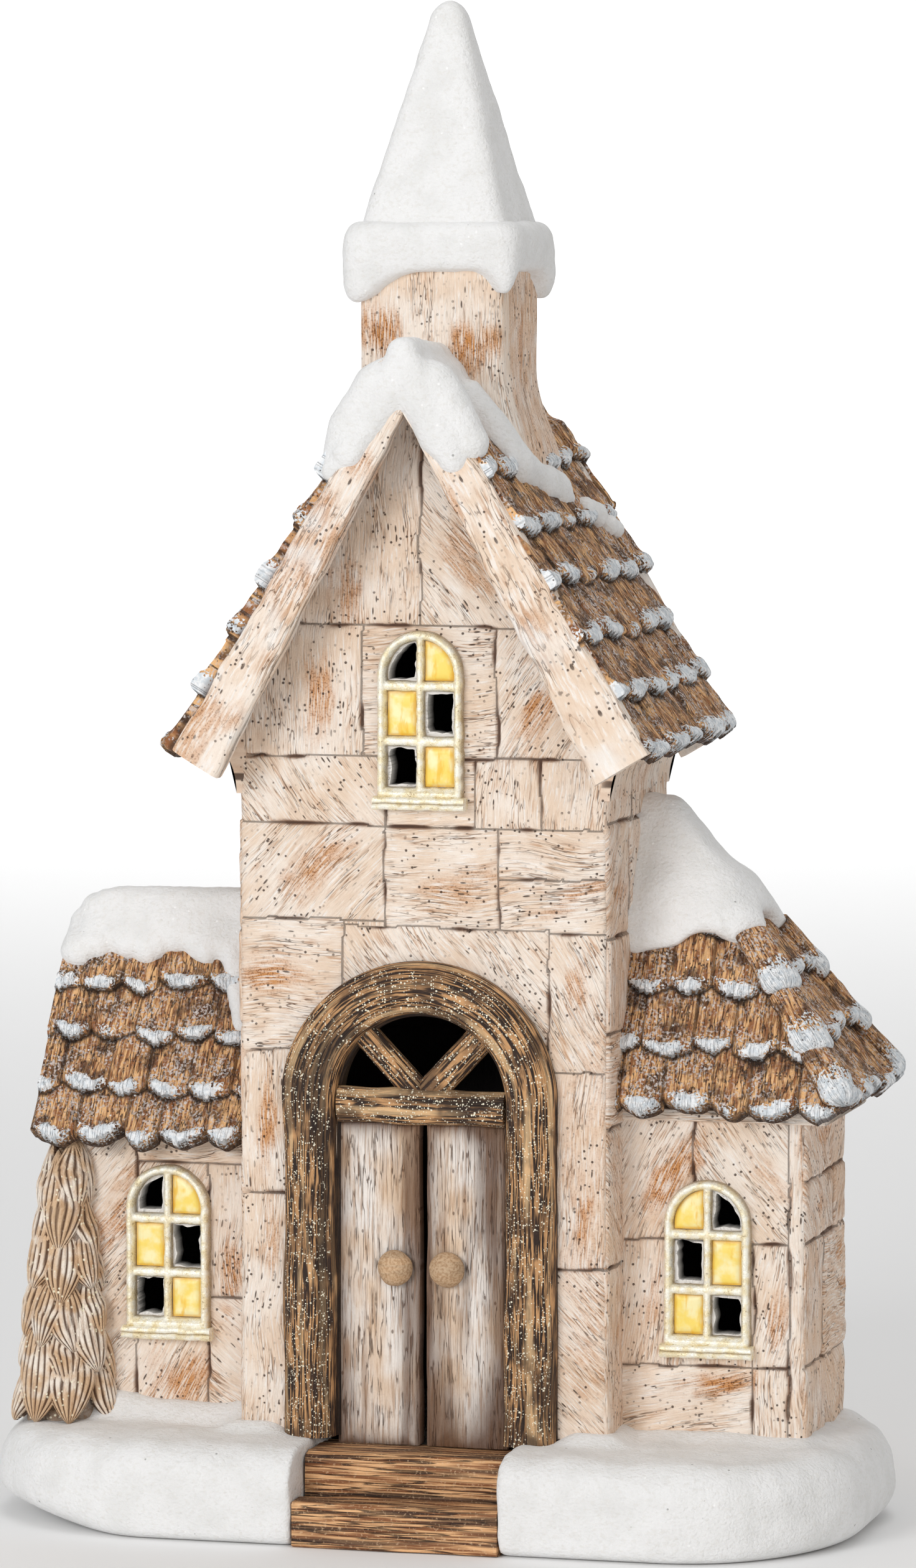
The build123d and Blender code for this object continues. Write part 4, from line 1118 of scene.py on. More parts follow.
def build_right_roof():
    """Three slopes of the hip, on a clay fascia set back from their tips."""
    rise, run, half = right_rise, wing_eave_run, right_length / 2
    flank, end = hypot(rise, run), hypot(rise, right_end_run)
    covered = (right_snow_line - right_eave) / rise
    corner_cut, corner_slant, snow_depth, back = 2.8, 1.2, 6, 5.0
    cover = {"width": 10.4, "courses": 4}
    for side, name in ((-1, "front"), (1, "rear")):

        def hip(u, v):
            toward_end = u * -side
            beyond = (toward_end - half + right_end_run * v / flank) * flank / hypot(right_end_run, flank)
            corner = toward_end - half + corner_cut - corner_slant * v
            return np.maximum.reduce([beyond - hip_lap, -toward_end - half, corner])

        eave = (tower_side + half, wing_centre + side * run, right_eave)
        slope = (eave, (-side, 0, 0), (0, -side * run / flank, rise / flank))
        shingled(f"right_roof_flank_{name}", "right_roof", slope, half, flank - snow_depth, 3.5, hip,
                 exposure=right_course_rise * flank / rise, frost=2.4, bed=covered * flank + 2,
                 seed=51 + side, **cover)

    def hip_end(u, v):
        beyond = (np.abs(u) - run + run * v / end) * end / hypot(run, end) - hip_lap
        return np.maximum(beyond, np.abs(u) - run + corner_cut - corner_slant * v)

    slope = ((right_roof_end, wing_centre, right_eave), (0, 1, 0), (-right_end_run / end, 0, rise / end))
    shingled("right_roof_end", "right_roof", slope, run, end - snow_depth, 3.5, hip_end,
             exposure=right_course_rise * end / rise, frost=2.6, bed=covered * end + 6, seed=55,
             thickness=3.6, drip=-0.8, **cover)
    for side, name in ((-1, "front"), (1, "rear")):
        corner = np.array((right_roof_end, wing_centre + side * run, right_eave))
        top = np.array((tower_side + right_ridge_run, wing_centre, right_apex))
        build_hip_shingles(name, corner, top, right_course_rise / rise)
    across, upward = soft_section(160, 0.2)
    y, z = wing_centre + across * (run - back), right_eave - 1.5 + upward * 1.5
    rings = np.array([spot(x, y, z) for x in np.linspace(tower_side, right_roof_end - back, 40)])
    fit(tube("right_roof_soffit", rings, clay_marks(rings)), "plaster", "right_roof")


def build_hip_shingles(name, corner, top, step):
    """Three frosted shingles bent over a hip, one for each course below the snow."""
    up = (top - corner) / np.linalg.norm(top - corner)
    across = np.cross(up, (0, 0, 1.0))
    across /= np.linalg.norm(across)
    out = np.cross(across, up)
    turn, share = circle(56), np.linspace(0, 1, 40)[:, None]
    length, half, flatness = 16.0, 5.2, 0.62
    width = half * np.sqrt(1 - (1 - np.clip(share / 0.2, 0.02, 1)) ** 2) * (1 - 0.2 * share)
    for course, drip in enumerate((-1.2, 2.0, 2.0)):
        tip = corner + (top - corner) * course * step - drip * up
        wobble = 1 + 0.12 * noise(spot(np.cos(turn) * 2, share * 5, course * 3.7), 1.2, 58)
        side_way, off = np.cos(turn) * width * wobble, np.sin(turn) * width * wobble * flatness
        lift = 2.2 - 0.6 * share
        points = tip + (share * length)[..., None] * up + side_way[..., None] * across
        points = points + (off + lift)[..., None] * out
        frost = smooth(0.62, 0.2, share + 0.12 * noise(points, 2.4, 59)) * smooth(-0.5, 0.1, np.sin(turn))
        # Painted shade on the underside of each hip shingle.
        cavity = 0.8 * smooth(0.0, -0.6, np.sin(turn)) + 0 * share
        marks = {"grain": spot(turn * 4.6, share * length, course * 11.0), "dab": frost, "cavity": cavity}
        fit(tube(f"right_roof_hip_{name}_{course}", points, marks), "shingle", "right_roof")


def clay(grain, rust):
    """Marks of brushed clay without hollows."""
    return {"grain": grain, "cavity": 0 * rust, "rust": rust, "bare": 0 * rust}


def clay_marks(rings, rust=0.0):
    """Marks of brushed clay on a bar, with strokes along it."""
    step = np.linalg.norm(np.diff(rings.mean(1), axis=0), axis=1).mean()
    girth = np.linalg.norm(rings[0] - np.roll(rings[0], 1, axis=0), axis=1).cumsum()
    grain = spot(girth, np.arange(len(rings))[:, None] * step, 3.0)
    return clay(grain, rust * smooth(0.1, 0.7, noise(rings, 9.0, 77)))


# Bargeboards and steeple


def outward(rings):
    """Directions from the middle of each ring to its points."""
    out = rings - rings.mean(1, keepdims=True)
    return out / np.linalg.norm(out, axis=-1, keepdims=True)


def build_bargeboards():
    """Four tapered gable boards with soft edges; each is set back by its side's measure below the apex."""
    inner, through = soft_section(80, 0.4)
    share = np.linspace(0, 1, 150)[:, None]
    width = barge_head + (barge_foot - barge_head) * share**1.2
    x, z = share * eave_reach, ridge - share * eave_reach * tan(main_pitch)
    along = np.linspace(0, eave_reach / cos(main_pitch), len(share))[:, None]
    apex_setback, spread = 1.0, 0.8
    for end, name in ((-1, "front"), (1, "rear")):
        for side, hand in ((-1, "left"), (1, "right")):
            node = f"bargeboard_{name}_{hand}"
            low, high = cad(node)
            setback = apex_setback + (barge_setback[side] - apex_setback) * smooth(0.08, 0.34, share)
            inward = setback + (inner + 1) / 2 * (width - setback)
            y = (low[1] + high[1]) / 2 + through * ((high[1] - low[1]) / 2 + spread)
            rings = spot(side * (x - inward * sin(main_pitch)), y, z - inward * cos(main_pitch))
            fibre = noise(spot(np.arange(len(inner)) * 0.5, along * 0.12, side + end), 1.4, 63)
            wobble = 0.4 * rough(rings, 7.0, 60 + side + end, 2) + 0.22 * fibre
            rings = rings + wobble[..., None] * outward(rings)
            marks = clay_marks(rings, 0.6)
            marks["bare"] = 0.7 * smooth(-0.1, 0.5, rough(rings, 11.0, 66 + side + end, 3))
            fit(tube(node + "_board", rings, marks), "plaster", node)


def corner_turn(count):
    """Even turns round a square, from a corner."""
    return circle(count) + pi / 4


def rounded_square(half, softness, count):
    """Points round a square with soft corners."""
    turn = corner_turn(count)
    power = 2 / softness
    radius = (np.abs(np.cos(turn)) ** power + np.abs(np.sin(turn)) ** power) ** (-1 / power)
    return np.stack([np.cos(turn), np.sin(turn)], -1) * (half * radius)[:, None]


def build_steeple_shaft():
    """Square brushed shaft, flared at its foot, with rust patches on its front and right faces and painted
    shade as a weak rust tint over the right face.
    """
    centre = (shaft_low[0] + shaft_high[0]) / 2
    half = (shaft_high[0] - shaft_low[0]) / 2 + 0.4
    flare_top, flare_foot, right_face, front_face = 246, 222, 12, -10
    square = rounded_square(1.0, 0.16, 320)
    girth = np.linalg.norm(square - np.roll(square, 1, axis=0), axis=1).cumsum() * half
    level = np.linspace(shaft_low[2] - 2, shaft_high[2], 110)[:, None]
    flare = 5.0 * smooth(flare_top, flare_foot, level) ** 1.5
    width = half + flare * 0.55
    rings = spot(centre + square[:, 0] * width + 0.35 * flare, square[:, 1] * width, level)
    grain = spot(girth, level, 0.0)
    fibre = carved(grain, 71, (0.1, 1.6, 0.32), (0.25, 4.5, 0.3))
    rings = rings + fibre[..., None] * outward(rings)
    x, y, z = np.moveaxis(rings, -1, 0)
    ragged = 0.5 * noise(grain * (1, 0.3, 1), 2.5, 73)
    left_patch = smooth(1.3, 0.2, np.hypot((x + 12.5) / 4.5, (z - 251.5) / 5.5) + ragged)
    right_patch = smooth(1.3, 0.2, np.hypot((x - 8) / 5, (z - 248) / 6) + ragged)
    side_patch = smooth(1.3, 0.3, np.hypot((y + 2) / 4, (z - 250) / 9) + ragged)
    # Painted shade: the whole right face takes a weak rust tint, with its rust patch laid over it.
    side_rust_and_shade = np.maximum(side_patch, 0.35) * (x > right_face)
    stain_and_shade = np.where(y < front_face, np.maximum(left_patch, right_patch), side_rust_and_shade)
    fit(tube("steeple_shaft_clay", rings, clay(grain, stain_and_shade)), "plaster", "steeple_shaft")


def build_spire():
    """Snow-covered spire and its cap, which sags at the corners."""
    centre = (cap_low[0] + cap_high[0]) / 2
    half = (cap_high[0] - cap_low[0]) / 2 + 0.4
    height, count, most_lift = cap_high[2] - cap_low[2], 240, 6.6
    lift = np.full(count, most_lift)
    for corner, depth, width in ((225, 6.6, 16), (315, 5.0, 7), (45, 6.2, 13), (135, 5.6, 14)):
        away = (np.degrees(corner_turn(count)) - corner + 180) % 360 - 180
        lift = lift - depth * np.exp(-((away / width) ** 2))
    rings = []
    widths = ((0, 0.9), (0.05, 0.96), (0.2, 1.0), (0.6, 1.01), (0.82, 0.99), (0.94, 0.94), (1.0, 0.86))
    for share, width in widths:
        ring = rounded_square(half * width, 0.26, count)
        rings.append(spot(centre + ring[:, 0], ring[:, 1], cap_low[2] + lift + (height - lift) * share))
    cap = [tube_arrays(np.array(rings))]
    snow_heap("spire_cap_snow", "spire_cap", cap, voxel=0.6, softening=9, swell=0.35, seed=81)
    sunk, tip, dome = 1.5, 3.0, 0.07
    foot, rise = cap_high[2] - sunk, spire_high[2] - cap_high[2] + sunk
    widest = (spire_high[0] - spire_low[0]) / 2
    rings = []
    for share in np.sin(np.linspace(0, pi / 2, 60)):
        width = widest + (tip - widest) * share
        width *= np.sqrt(1 - np.clip((share - (1 - dome)) / dome, 0, 0.998) ** 2)
        ring = rounded_square(width, 0.28 + 0.5 * share**2, 120)
        rings.append(spot(centre + ring[:, 0], ring[:, 1], foot + rise * share))
    cone = [tube_arrays(np.array(rings))]
    snow_heap("spire_snow", "spire", cone, voxel=0.55, softening=4, swell=0.3, seed=85)


# Snow on roofs and base


def snow_heap(name, node, parts, voxel, softening, swell, seed):
    """Soft skin round overlapping closed parts, with gentle swells."""
    points, normals, faces = softened(add_mesh(name + "_draft", *merged(parts)), voxel, softening)
    lumps = noise(points, 9.0, seed) + 0.45 * noise(points, 3.6, seed + 1)
    lumps += 0.15 * noise(points, 1.4, seed + 2)
    fit(add_mesh(name, points + normals * (swell * lumps)[:, None], faces), "snow", node)


def rope(path, radii, squash=(1.0, 1.0, 1.0)):
    """Closed round parts strung closely along a path, with radii that change evenly."""
    path, spacing = np.array(path, float), 1.8
    length = np.append(0, np.linalg.norm(np.diff(path, axis=0), axis=1).cumsum())
    for along in np.linspace(0, length[-1], max(2, round(length[-1] / spacing))):
        centre = [np.interp(along, length, path[:, axis]) for axis in range(3)]
        yield ellipsoid(centre, np.interp(along, length, radii) * np.array(squash))


def drape(limits, place, radius, lift):
    """Round parts set closely over a slope; limits pairs places along it with how far down they reach."""
    limits, spacing = np.array(limits, float), 2.2
    for along in np.linspace(*limits[[0, -1], 0], round(np.ptp(limits[:, 0]) / spacing) + 1):
        reach = np.interp(along, *limits.T) - radius
        for down in np.linspace(0, reach, round(reach / spacing) + 2):
            yield ellipsoid(place(along, down, lift), (radius,) * 3)


def main_slope(side):
    """Maps a place along the main ridge, a way down its slope and a lift off it to a point."""

    def place(along, down, lift):
        out = max(0.0, down * cos(main_pitch) + lift * sin(main_pitch))
        toward_steeple = smooth(-36, -16, along) * (along < 0)
        sag = crest_sag * (1 + toward_steeple) * smooth(7, 0, down)
        return side * out, along, ridge - down * sin(main_pitch) + lift * cos(main_pitch) - sag

    return place


def left_slope(side):
    """Maps a place along the left ridge, a way down its slope and a lift off it to a point."""

    def place(along, down, lift):
        out = down * cos(left_pitch) + lift * sin(left_pitch)
        return along, wing_centre + side * out, left_ridge - down * sin(left_pitch) + lift * cos(left_pitch)

    return place


def build_ridge_snow():
    """Snow over the main ridge, hung in two lobes over the front gable and run down beside the steeple."""
    face = -barge_end + 1.0
    left, right = main_slope(-1), main_slope(1)
    parts = list(drape(((face, 28), (-36, 27), (-29, 22), (-20, 17), (-14, 20)), left, 3.6, -1.0))
    parts += drape(((face, 26), (-38, 25), (-33.5, 18), (-28, 14), (-20, 14), (-15, 17)), right, 3.7, -0.7)
    lobes = (
        (left, face + 1.5, ((3, -1.2), (11, 1.4), (20, 1.8), (28, 0.9)), (3.6, 4.7, 4.4, 2.8)),
        (left, face, ((2, -2.8), (10, -2.8), (20, -1.8), (30, 0.2)), (3.6, 4.0, 3.4, 2.0)),
        (right, face, ((2, -2.8), (10, -3.0), (19, -3.0), (24.5, -2.2)), (3.6, 4.4, 4.7, 4.0)),
        (right, face + 1, ((4, -1.0), (10, 1.2), (16, 1.6), (24, 1.6)), (3.6, 4.4, 4.4, 4.2)),
    )
    for slope, along, places, radii in lobes:
        parts += rope([slope(along, *place) for place in places], radii)
    beside_steeple = (
        (8, -20, 237), (13, -20, 230.5), (17.2, -17, 224),
        (18.8, -6, 221), (20.4, 6, 218), (21.8, 12, 215.6),
    )
    parts += rope(beside_steeple, (4.0, 4.5, 4.4, 3.1, 3.4, 1.6), (1, 1, 1.2))
    parts += rope(((23.4, 19, 213.4), (24.4, 24, 211.6)), (2.2, 2.7))
    parts += rope(((25.8, 30, 209.2), (26.4, 34, 208.2)), (2.3, 2.0))
    snow_heap("ridge_snow_front_heap", "ridge_snow_front", parts, voxel=0.6, softening=6, swell=0.6, seed=90)
    parts = []
    for side in (-1, 1):
        parts += drape(((13.5, 11), (24, 9), (barge_end - 2.5, 12)), main_slope(side), 3.0, -0.4)
    snow_heap("ridge_snow_rear_heap", "ridge_snow_rear", parts, voxel=0.7, softening=10, swell=0.4, seed=92)


def build_left_snow():
    """Rounded snow along the left ridge, run down against the tower."""
    radius, end_length, end_drop, run_radius = 4.0, 8, 4.4, 3.4
    start, end = cad("left_roof_snow")[0][0] + 0.6 + radius, 1.0 - tower_side
    parts = []
    for side in (-1, 1):
        slope = left_slope(side)

        def rounded(along, down, lift):
            x, y, z = slope(along, down, lift)
            past = min(1.0, max(0.0, (start + end_length - along) / end_length))
            return x, y, z - end_drop * (1 - (1 - past**2) ** 0.5) * smooth(13, 1, down)

        places = np.linspace(start, end, 24)
        edge = [(x, 12.9 + 1.2 * sin(x * 0.42 + side) + 0.8 * sin(x * 1.1)) for x in places]
        parts += drape(edge, rounded, radius, 1.0)
        for inset in (3.6, 9.8):
            run_down = [slope(end - inset + 0.45 * inset * t, 9 + 20 * t, 1.6) for t in np.linspace(0, 1, 6)]
            parts += rope(run_down, np.linspace(run_radius, 0.5 * run_radius, 6))
    snow_heap("left_roof_heap", "left_roof_snow", parts, voxel=0.6, softening=6, swell=0.55, seed=95)


def build_right_snow():
    """Snow heap over the top of the hip, banked against the tower and cut back over the end slope."""
    turn = np.linspace(-pi, pi, 200, endpoint=False)
    across, along = blunt(np.cos(turn), 0.55), blunt(np.sin(turn), 0.55)
    wave = 1.5 * np.sin(turn * 5 + 0.6) + np.sin(turn * 9) + 5.5 * np.exp(-(((turn + 0.12) / 0.22) ** 2))
    swells = (
        (123.8, 3.4), (124.6, 5.0), (126.5, 6.2), (130, 6.6), (136, 6.4),
        (142, 5.2), (147, 5.6), (150.5, 4.8), (152.6, 3.2), (153.6, 1.2),
    )
    rings = []
    for level, swell in swells:
        share = max(0.0, 1 - (level - right_eave) / right_rise)
        crest = right_ridge_run * (1 - 0.45 * smooth(132, 153, level))
        reach, half = crest + right_end_run * share + swell, wing_eave_run * share + swell
        height = level + wave * smooth(137, 124, level)
        inward = right_end_run / right_rise * (height - level) * (np.cos(turn) > 0)
        x = tower_side + np.maximum(across * reach - inward, -2.0)
        rings.append(spot(x, wing_centre + along * half, height))
    bank, bank_top = 120.0, 151
    parts = [tube_arrays(np.array(rings))]
    for side in (-1, 1):
        low_end = wing_centre + side * wing_eave_run * (right_apex - bank) / right_rise
        path = [(tower_side + 1.5, wing_centre, bank_top), (tower_side + 1.2, low_end + side, bank + 3)]
        parts += rope(path, (3.2, 2.2))
    snow_heap("right_roof_heap", "right_roof_snow", parts, voxel=0.7, softening=8, swell=0.5, seed=99)


def build_base():
    """Snow drift under the house, banked up against its walls and undercut at both ends."""
    draft = bpy.data.objects.new("base_draft", frame["nodes"]["snow_base"].data.copy())
    bpy.context.scene.collection.objects.link(draft)
    points, normals, faces = softened(draft, 0.9, 8)
    x, y, z = points.T
    banks = np.zeros(len(points))
    for low, high, height, reach in (
        (left_low, left_high, 5.4, 8.0),
        (tower_low, tower_high, 2.6, 6.0),
        (right_low, right_high, 1.4, 7.0),
    ):
        beside = np.maximum.reduce([low[0] - x, x - high[0], 0 * x])
        before = np.maximum.reduce([low[1] - y, y - high[1], 0 * y])
        banks = np.maximum(banks, height * smooth(reach, 0.0, np.hypot(beside, before)))
    doorway = np.clip(smooth(27, 34, np.abs(x)) + (y > 0), 0, 1)
    banks *= doorway * smooth(16, 19, z) * (1 + 0.35 * noise(points, 12.0, 105))
    socket_length, socket_width = 37, 26
    outside = smooth(2.0, 6.0, z) * ((np.abs(x) > socket_length) | (np.abs(y) > socket_width))
    lumps = 0.8 * noise(points, 17.0, 101) + 0.4 * noise(points, 7.0, 102) + 0.12 * noise(points, 2.2, 103)
    points = points + normals * (lumps * outside)[:, None]
    left_end, right_end = smooth(-50, base_low[0], x), smooth(55, base_high[0], x)
    undercut = np.clip(1 - z / 8.0, 0, 1) ** 2
    points[:, 0] += left_end * (16.0 * undercut - 2.6) - right_end * (1.6 + 3.0 * undercut)
    points[:, 2] += banks
    threshold = (np.abs(points[:, 0]) < 21.5) & (points[:, 1] > -29) & (points[:, 1] < -20)
    points[:, 2] = np.where(threshold, np.minimum(points[:, 2], landing - 0.8), points[:, 2])
    fit(add_mesh("snow_base_drift", points, faces), "snow", "snow_base")


# Doorway


def build_door_frame():
    """Rounded timber surround with carved grain, lining the doorway."""
    outer, inner = door_high[0], door_half
    spring, middle = door_crown - door_half, (outer + inner) / 2
    straight, arc = spring - ground, pi * middle
    lengths = np.linspace(0, 2 * straight + arc, 330)[:, None]
    along = np.clip((lengths - straight) / arc, 0, 1) * pi
    below_spring = np.minimum.reduce([0 * lengths, lengths - straight, arc - (lengths - straight)])
    bulge, lining, reveal, back = 5.2, 0.7, 4.4, 0.8
    turn, face_share, reveal_share = np.linspace(0, 1, 96, endpoint=False), 0.62, 0.18
    angle = pi * np.clip(turn / face_share, 0, 1)
    into = (turn - face_share) / reveal_share
    behind = (turn - face_share - reveal_share) / (1 - face_share - reveal_share)
    stretch = [turn < face_share, turn < face_share + reveal_share]
    radius = np.select(
        stretch,
        [middle + (outer - middle) * blunt(np.cos(angle), 0.8), inner - lining * np.minimum(1.0, 6 * into)],
        inner - lining + (outer - inner + lining) * behind,
    )
    out = np.select(
        stretch, [bulge * np.abs(np.sin(angle)) ** 0.62, -reveal * into], -reveal + (reveal - back) * behind
    )
    girth = np.append(0, np.hypot(np.diff(radius), np.diff(out)).cumsum())
    grain = spot(girth, lengths, 0.0)
    twisted = grain + spot(2.2 * noise(grain * (0.0, 1.0, 0.0), 18.0, 111), 0, 0)
    fibre = carved(twisted, 112, (0.05, 1.3, 0.42), (0.04, 3.0, 0.55))
    shown, away = smooth(-0.5, 1.0, out), np.sign(radius - middle)
    swell = 0.5 * noise(grain * (0, 1, 0) + (7, 0, 0), 15.0, 114)
    r = radius + shown * fibre * 0.5 * away + swell * shown * away * 0.8
    w = out + shown * fibre * 0.9
    rings = spot(-r * np.cos(along), tower_front - w, spring + below_spring + r * np.sin(along))
    # Dark carved lines, with painted shade where the frame meets the wall and inside the reveal.
    cavity = np.clip(smooth(0.05, -0.7, fibre) * 0.8 + smooth(1.2, -0.5, out) * 0.9, 0, 1)
    glint = shown * smooth(1.5, 4.5, w) * (0.75 + 0.25 * noise(grain, 6.0, 115))
    marks = {"grain": grain, "cavity": cavity, "glint": glint}
    fit(tube("door_frame_timber", rings, marks), "timber", "door_frame")


def stick(name, node, start, end, face, half_width, half_depth, seed, glint, count):
    """Carved timber bar between two points in X and Z, seen from the front."""
    start, end = np.array(start, float), np.array(end, float)
    length = np.linalg.norm(end - start)
    along = (end - start) / length
    a, b = soft_section(64, 0.7)
    s = np.linspace(0, 1, count)[:, None]
    grain = spot(circle(64) * half_width, s * length, seed)
    fibre = carved(grain, seed, (0.07, 1.2, 0.3), (0.06, 2.6, 0.3))
    width = half_width + fibre + 0.35 * noise(grain * (0, 1, 1), 7.0, seed + 2)
    middle = start + s[..., None] * (end - start)
    x, z = middle[..., 0] - along[1] * a * width, middle[..., 1] + along[0] * a * width
    rings = spot(x, face - b * (half_depth + fibre), z)
    shown = glint * smooth(0.0, 0.6, b) + 0 * s
    marks = {"grain": grain, "cavity": smooth(0.05, -0.45, fibre), "glint": shown}
    fit(tube(name, rings, marks), "timber", node)


def build_doorway():
    """Transom, fanlight bars, door leaves and knobs."""
    low, high = cad("door_transom")
    level, face, half = (low[2] + high[2]) / 2, (low[1] + high[1]) / 2, (high[2] - low[2]) / 2
    inset = 0.4
    start, end = (low[0] + inset, level), (high[0] - inset, level)
    stick("door_transom_bar", "door_transom", start, end, face, half,
          half_depth=3.2, seed=121, glint=0.9, count=80)
    bars_low, bars_high = cad("fanlight_bars")
    bar_gap, bar_spread, bar_sunk, bar_rise = 0.8, 12.8, 1.2, 11.6
    bars_face, foot, rise = (bars_low[1] + bars_high[1]) / 2, high[2] - bar_sunk, high[2] + bar_rise
    for side, name in ((-1, "left"), (1, "right")):
        start, end = (side * bar_gap, foot), (side * bar_spread, rise)
        stick(f"fanlight_bar_{name}", "fanlight_bars", start, end, bars_face,
              half_width=2.9, half_depth=2.8, seed=125 + side, glint=0.6, count=50)
        build_leaf(side, name)
        build_knob(name)


def build_leaf(side, name):
    """One weathered board leaf."""
    low, high = cad(f"door_leaf_{name}")
    seed = 131 + side

    def surface(u, v):
        grain = spot(u, v, seed)
        bend = grain + spot(0.8 * noise(grain * (0.3, 1, 1), 14.0, seed), 0 * v, 0)
        fibre = carved(bend, seed + 1, (0.05, 1.2, 0.22), (0.04, 3.4, 0.3))
        edge = np.minimum.reduce([u - low[0], high[0] - u, high[2] - v, v - landing + 0.5])
        crack = smooth(0.62, 0.8, noise(bend * (1, 0.03, 1), 2.2, seed + 3))
        crack = crack * smooth(0.0, 0.6, noise(bend, 16.0, seed + 4))
        relief = fibre - 0.7 * np.exp(-edge / 0.7) - 0.5 * crack
        shade = 0.55 * smooth(0.2, -0.6, noise(bend * (1, 0.35, 1), 9.0, seed + 6)) * smooth(40, 20, v)
        shade = shade + 0.22 * smooth(9, 16, u)
        cavity = 0.9 * np.exp(-edge / 2.8) + 0.9 * crack + 0.4 * smooth(0.0, -0.35, fibre) + shade
        return relief, {"grain": grain, "cavity": np.clip(cavity, 0, 1)}

    def outline(u, v):
        lean = 0.25 * noise(spot(v, side, 0.0), 9.0, seed + 5)
        return box_outline(u + lean * (np.abs(u) < 4), v, low[0], high[0], landing, high[2])

    corners = (low[0] - 0.6, landing), (high[0] + 0.6, high[2])
    board = slab(f"door_leaf_{name}_board", front_plane(low[1]), *corners, 0.35, outline, surface,
                 even(high[1] - low[1]))
    fit(board, "door_board", f"door_leaf_{name}")


def build_knob(name):
    """Round wooden knob on a short neck."""
    low, high = cad(f"door_knob_{name}")
    x, z = (low[0] + high[0]) / 2, (low[2] + high[2]) / 2
    radius, neck_share, neck_rings = (high[0] - low[0]) / 2 + 0.4, 0.25, 9
    turn, rings = circle(72), []
    for share in np.linspace(0, 1, 30):
        if share < neck_share:
            r, y = radius * 0.72, high[1] + 0.4 - share * 4 * 1.2
        else:
            angle = (share - neck_share) / (1 - neck_share) * pi / 2 * 0.985 + 0.02
            r, y = radius * cos(angle), high[1] - 0.8 - (radius - 0.2) * sin(angle)
        rings.append(spot(x + r * np.cos(turn), y, z + r * np.sin(turn)))
    rings = np.array(rings)
    rings = rings + 0.12 * noise(rings, 2.2, 141)[..., None]
    cavity = np.zeros(rings.shape[:2])
    # Painted shade on the neck under the ball.
    cavity[:neck_rings] = 0.8
    grain = spot(0.22 * rings[..., 2], 0.5 * rings[..., 0], 5.3)
    marks = {"grain": grain, "cavity": cavity, "glint": 0 * cavity, "worn": 0 * cavity + 0.85}
    fit(tube(f"door_knob_{name}_ball", rings, marks), "timber", f"door_knob_{name}")


# Windows


def build_window_frame(name, window):
    """Arched gilt frame with rounded bars and a moulded sill."""
    x, sill, face = window.x, window.sill, window.face
    node, foot, rounding = f"{name}_window_frame", sill - 0.5, 0.95

    def arch(u, v):
        return arch_outline(u, v, x, window_width / 2, foot, sill + window_height)

    def outline(u, v):
        lights = [-light_outline(u, v, window, light) for light in window_lights(window)]
        return np.maximum.reduce([arch(u, v), *lights]) + 0.12 * noise(spot(u, v, face), 1.5, 151)

    def surface(u, v):
        inward = np.clip(-outline(u, v) / rounding, 0, 1)
        bead = 0.45 * smooth(1.1, 0.5, np.abs(-arch(u, v) - 0.75))
        relief = 0.7 + 1.35 * np.sqrt(1 - (1 - inward) ** 2) + bead + 0.12 * noise(spot(u, v, 2.0), 1.3, 152)
        return relief, {"cavity": smooth(0.5, 0.0, inward) * 0.8}

    low, high = (x - window_width / 2 - 0.5, foot), (x + window_width / 2 + 0.5, sill + window_height + 0.5)
    bars = slab(f"{name}_window_bars", front_plane(face), low, high, 0.25, outline, surface, even(0.3))
    fit(bars, "gilt", node)
    low, high = cad(node)
    a, b = soft_section(56, 0.55)
    step = smooth(0.25, 0.0, np.abs(b)) * (a > 0)
    places = np.linspace(low[0] + sill_inset, high[0] - sill_inset, 60)[:, None]
    y = face - sill_depth / 2 + 0.2 - a * (sill_depth / 2 - 0.45 * step)
    rings = spot(places, y, sill - sill_height / 2 + b * sill_height / 2)
    rings = rings + 0.14 * noise(rings, 1.8, 153)[..., None]
    fit(tube(f"{name}_window_sill", rings, {"cavity": 0.8 * step + 0 * places}), "gilt", node)


def build_panes(name, window):
    """Yellow panes, slightly domed, in the lights of one window that are not pierced."""

    def outline(u, v):
        glazed = [light_outline(u, v, window, light) for light in window_lights(window) if not light.pierced]
        return np.minimum.reduce(glazed) + 0.05

    def surface(u, v):
        inward = -outline(u, v)
        relief = 0.75 - 0.35 * smooth(1.2, 0.0, inward) + 0.15 * noise(spot(u, v, 3.0), 2.6, 161)
        return relief, {"cavity": smooth(1.1, 0.0, inward)}

    low = (window.x - window_width / 2, window.sill)
    high = (window.x + window_width / 2, window.sill + window_height)
    place = front_plane(window.face)
    glazing = slab(f"{name}_window_glazing", place, low, high, 0.35, outline, surface, even(-0.05))
    fit(glazing, "pane", f"{name}_window_panes")


# Steps and fir tree


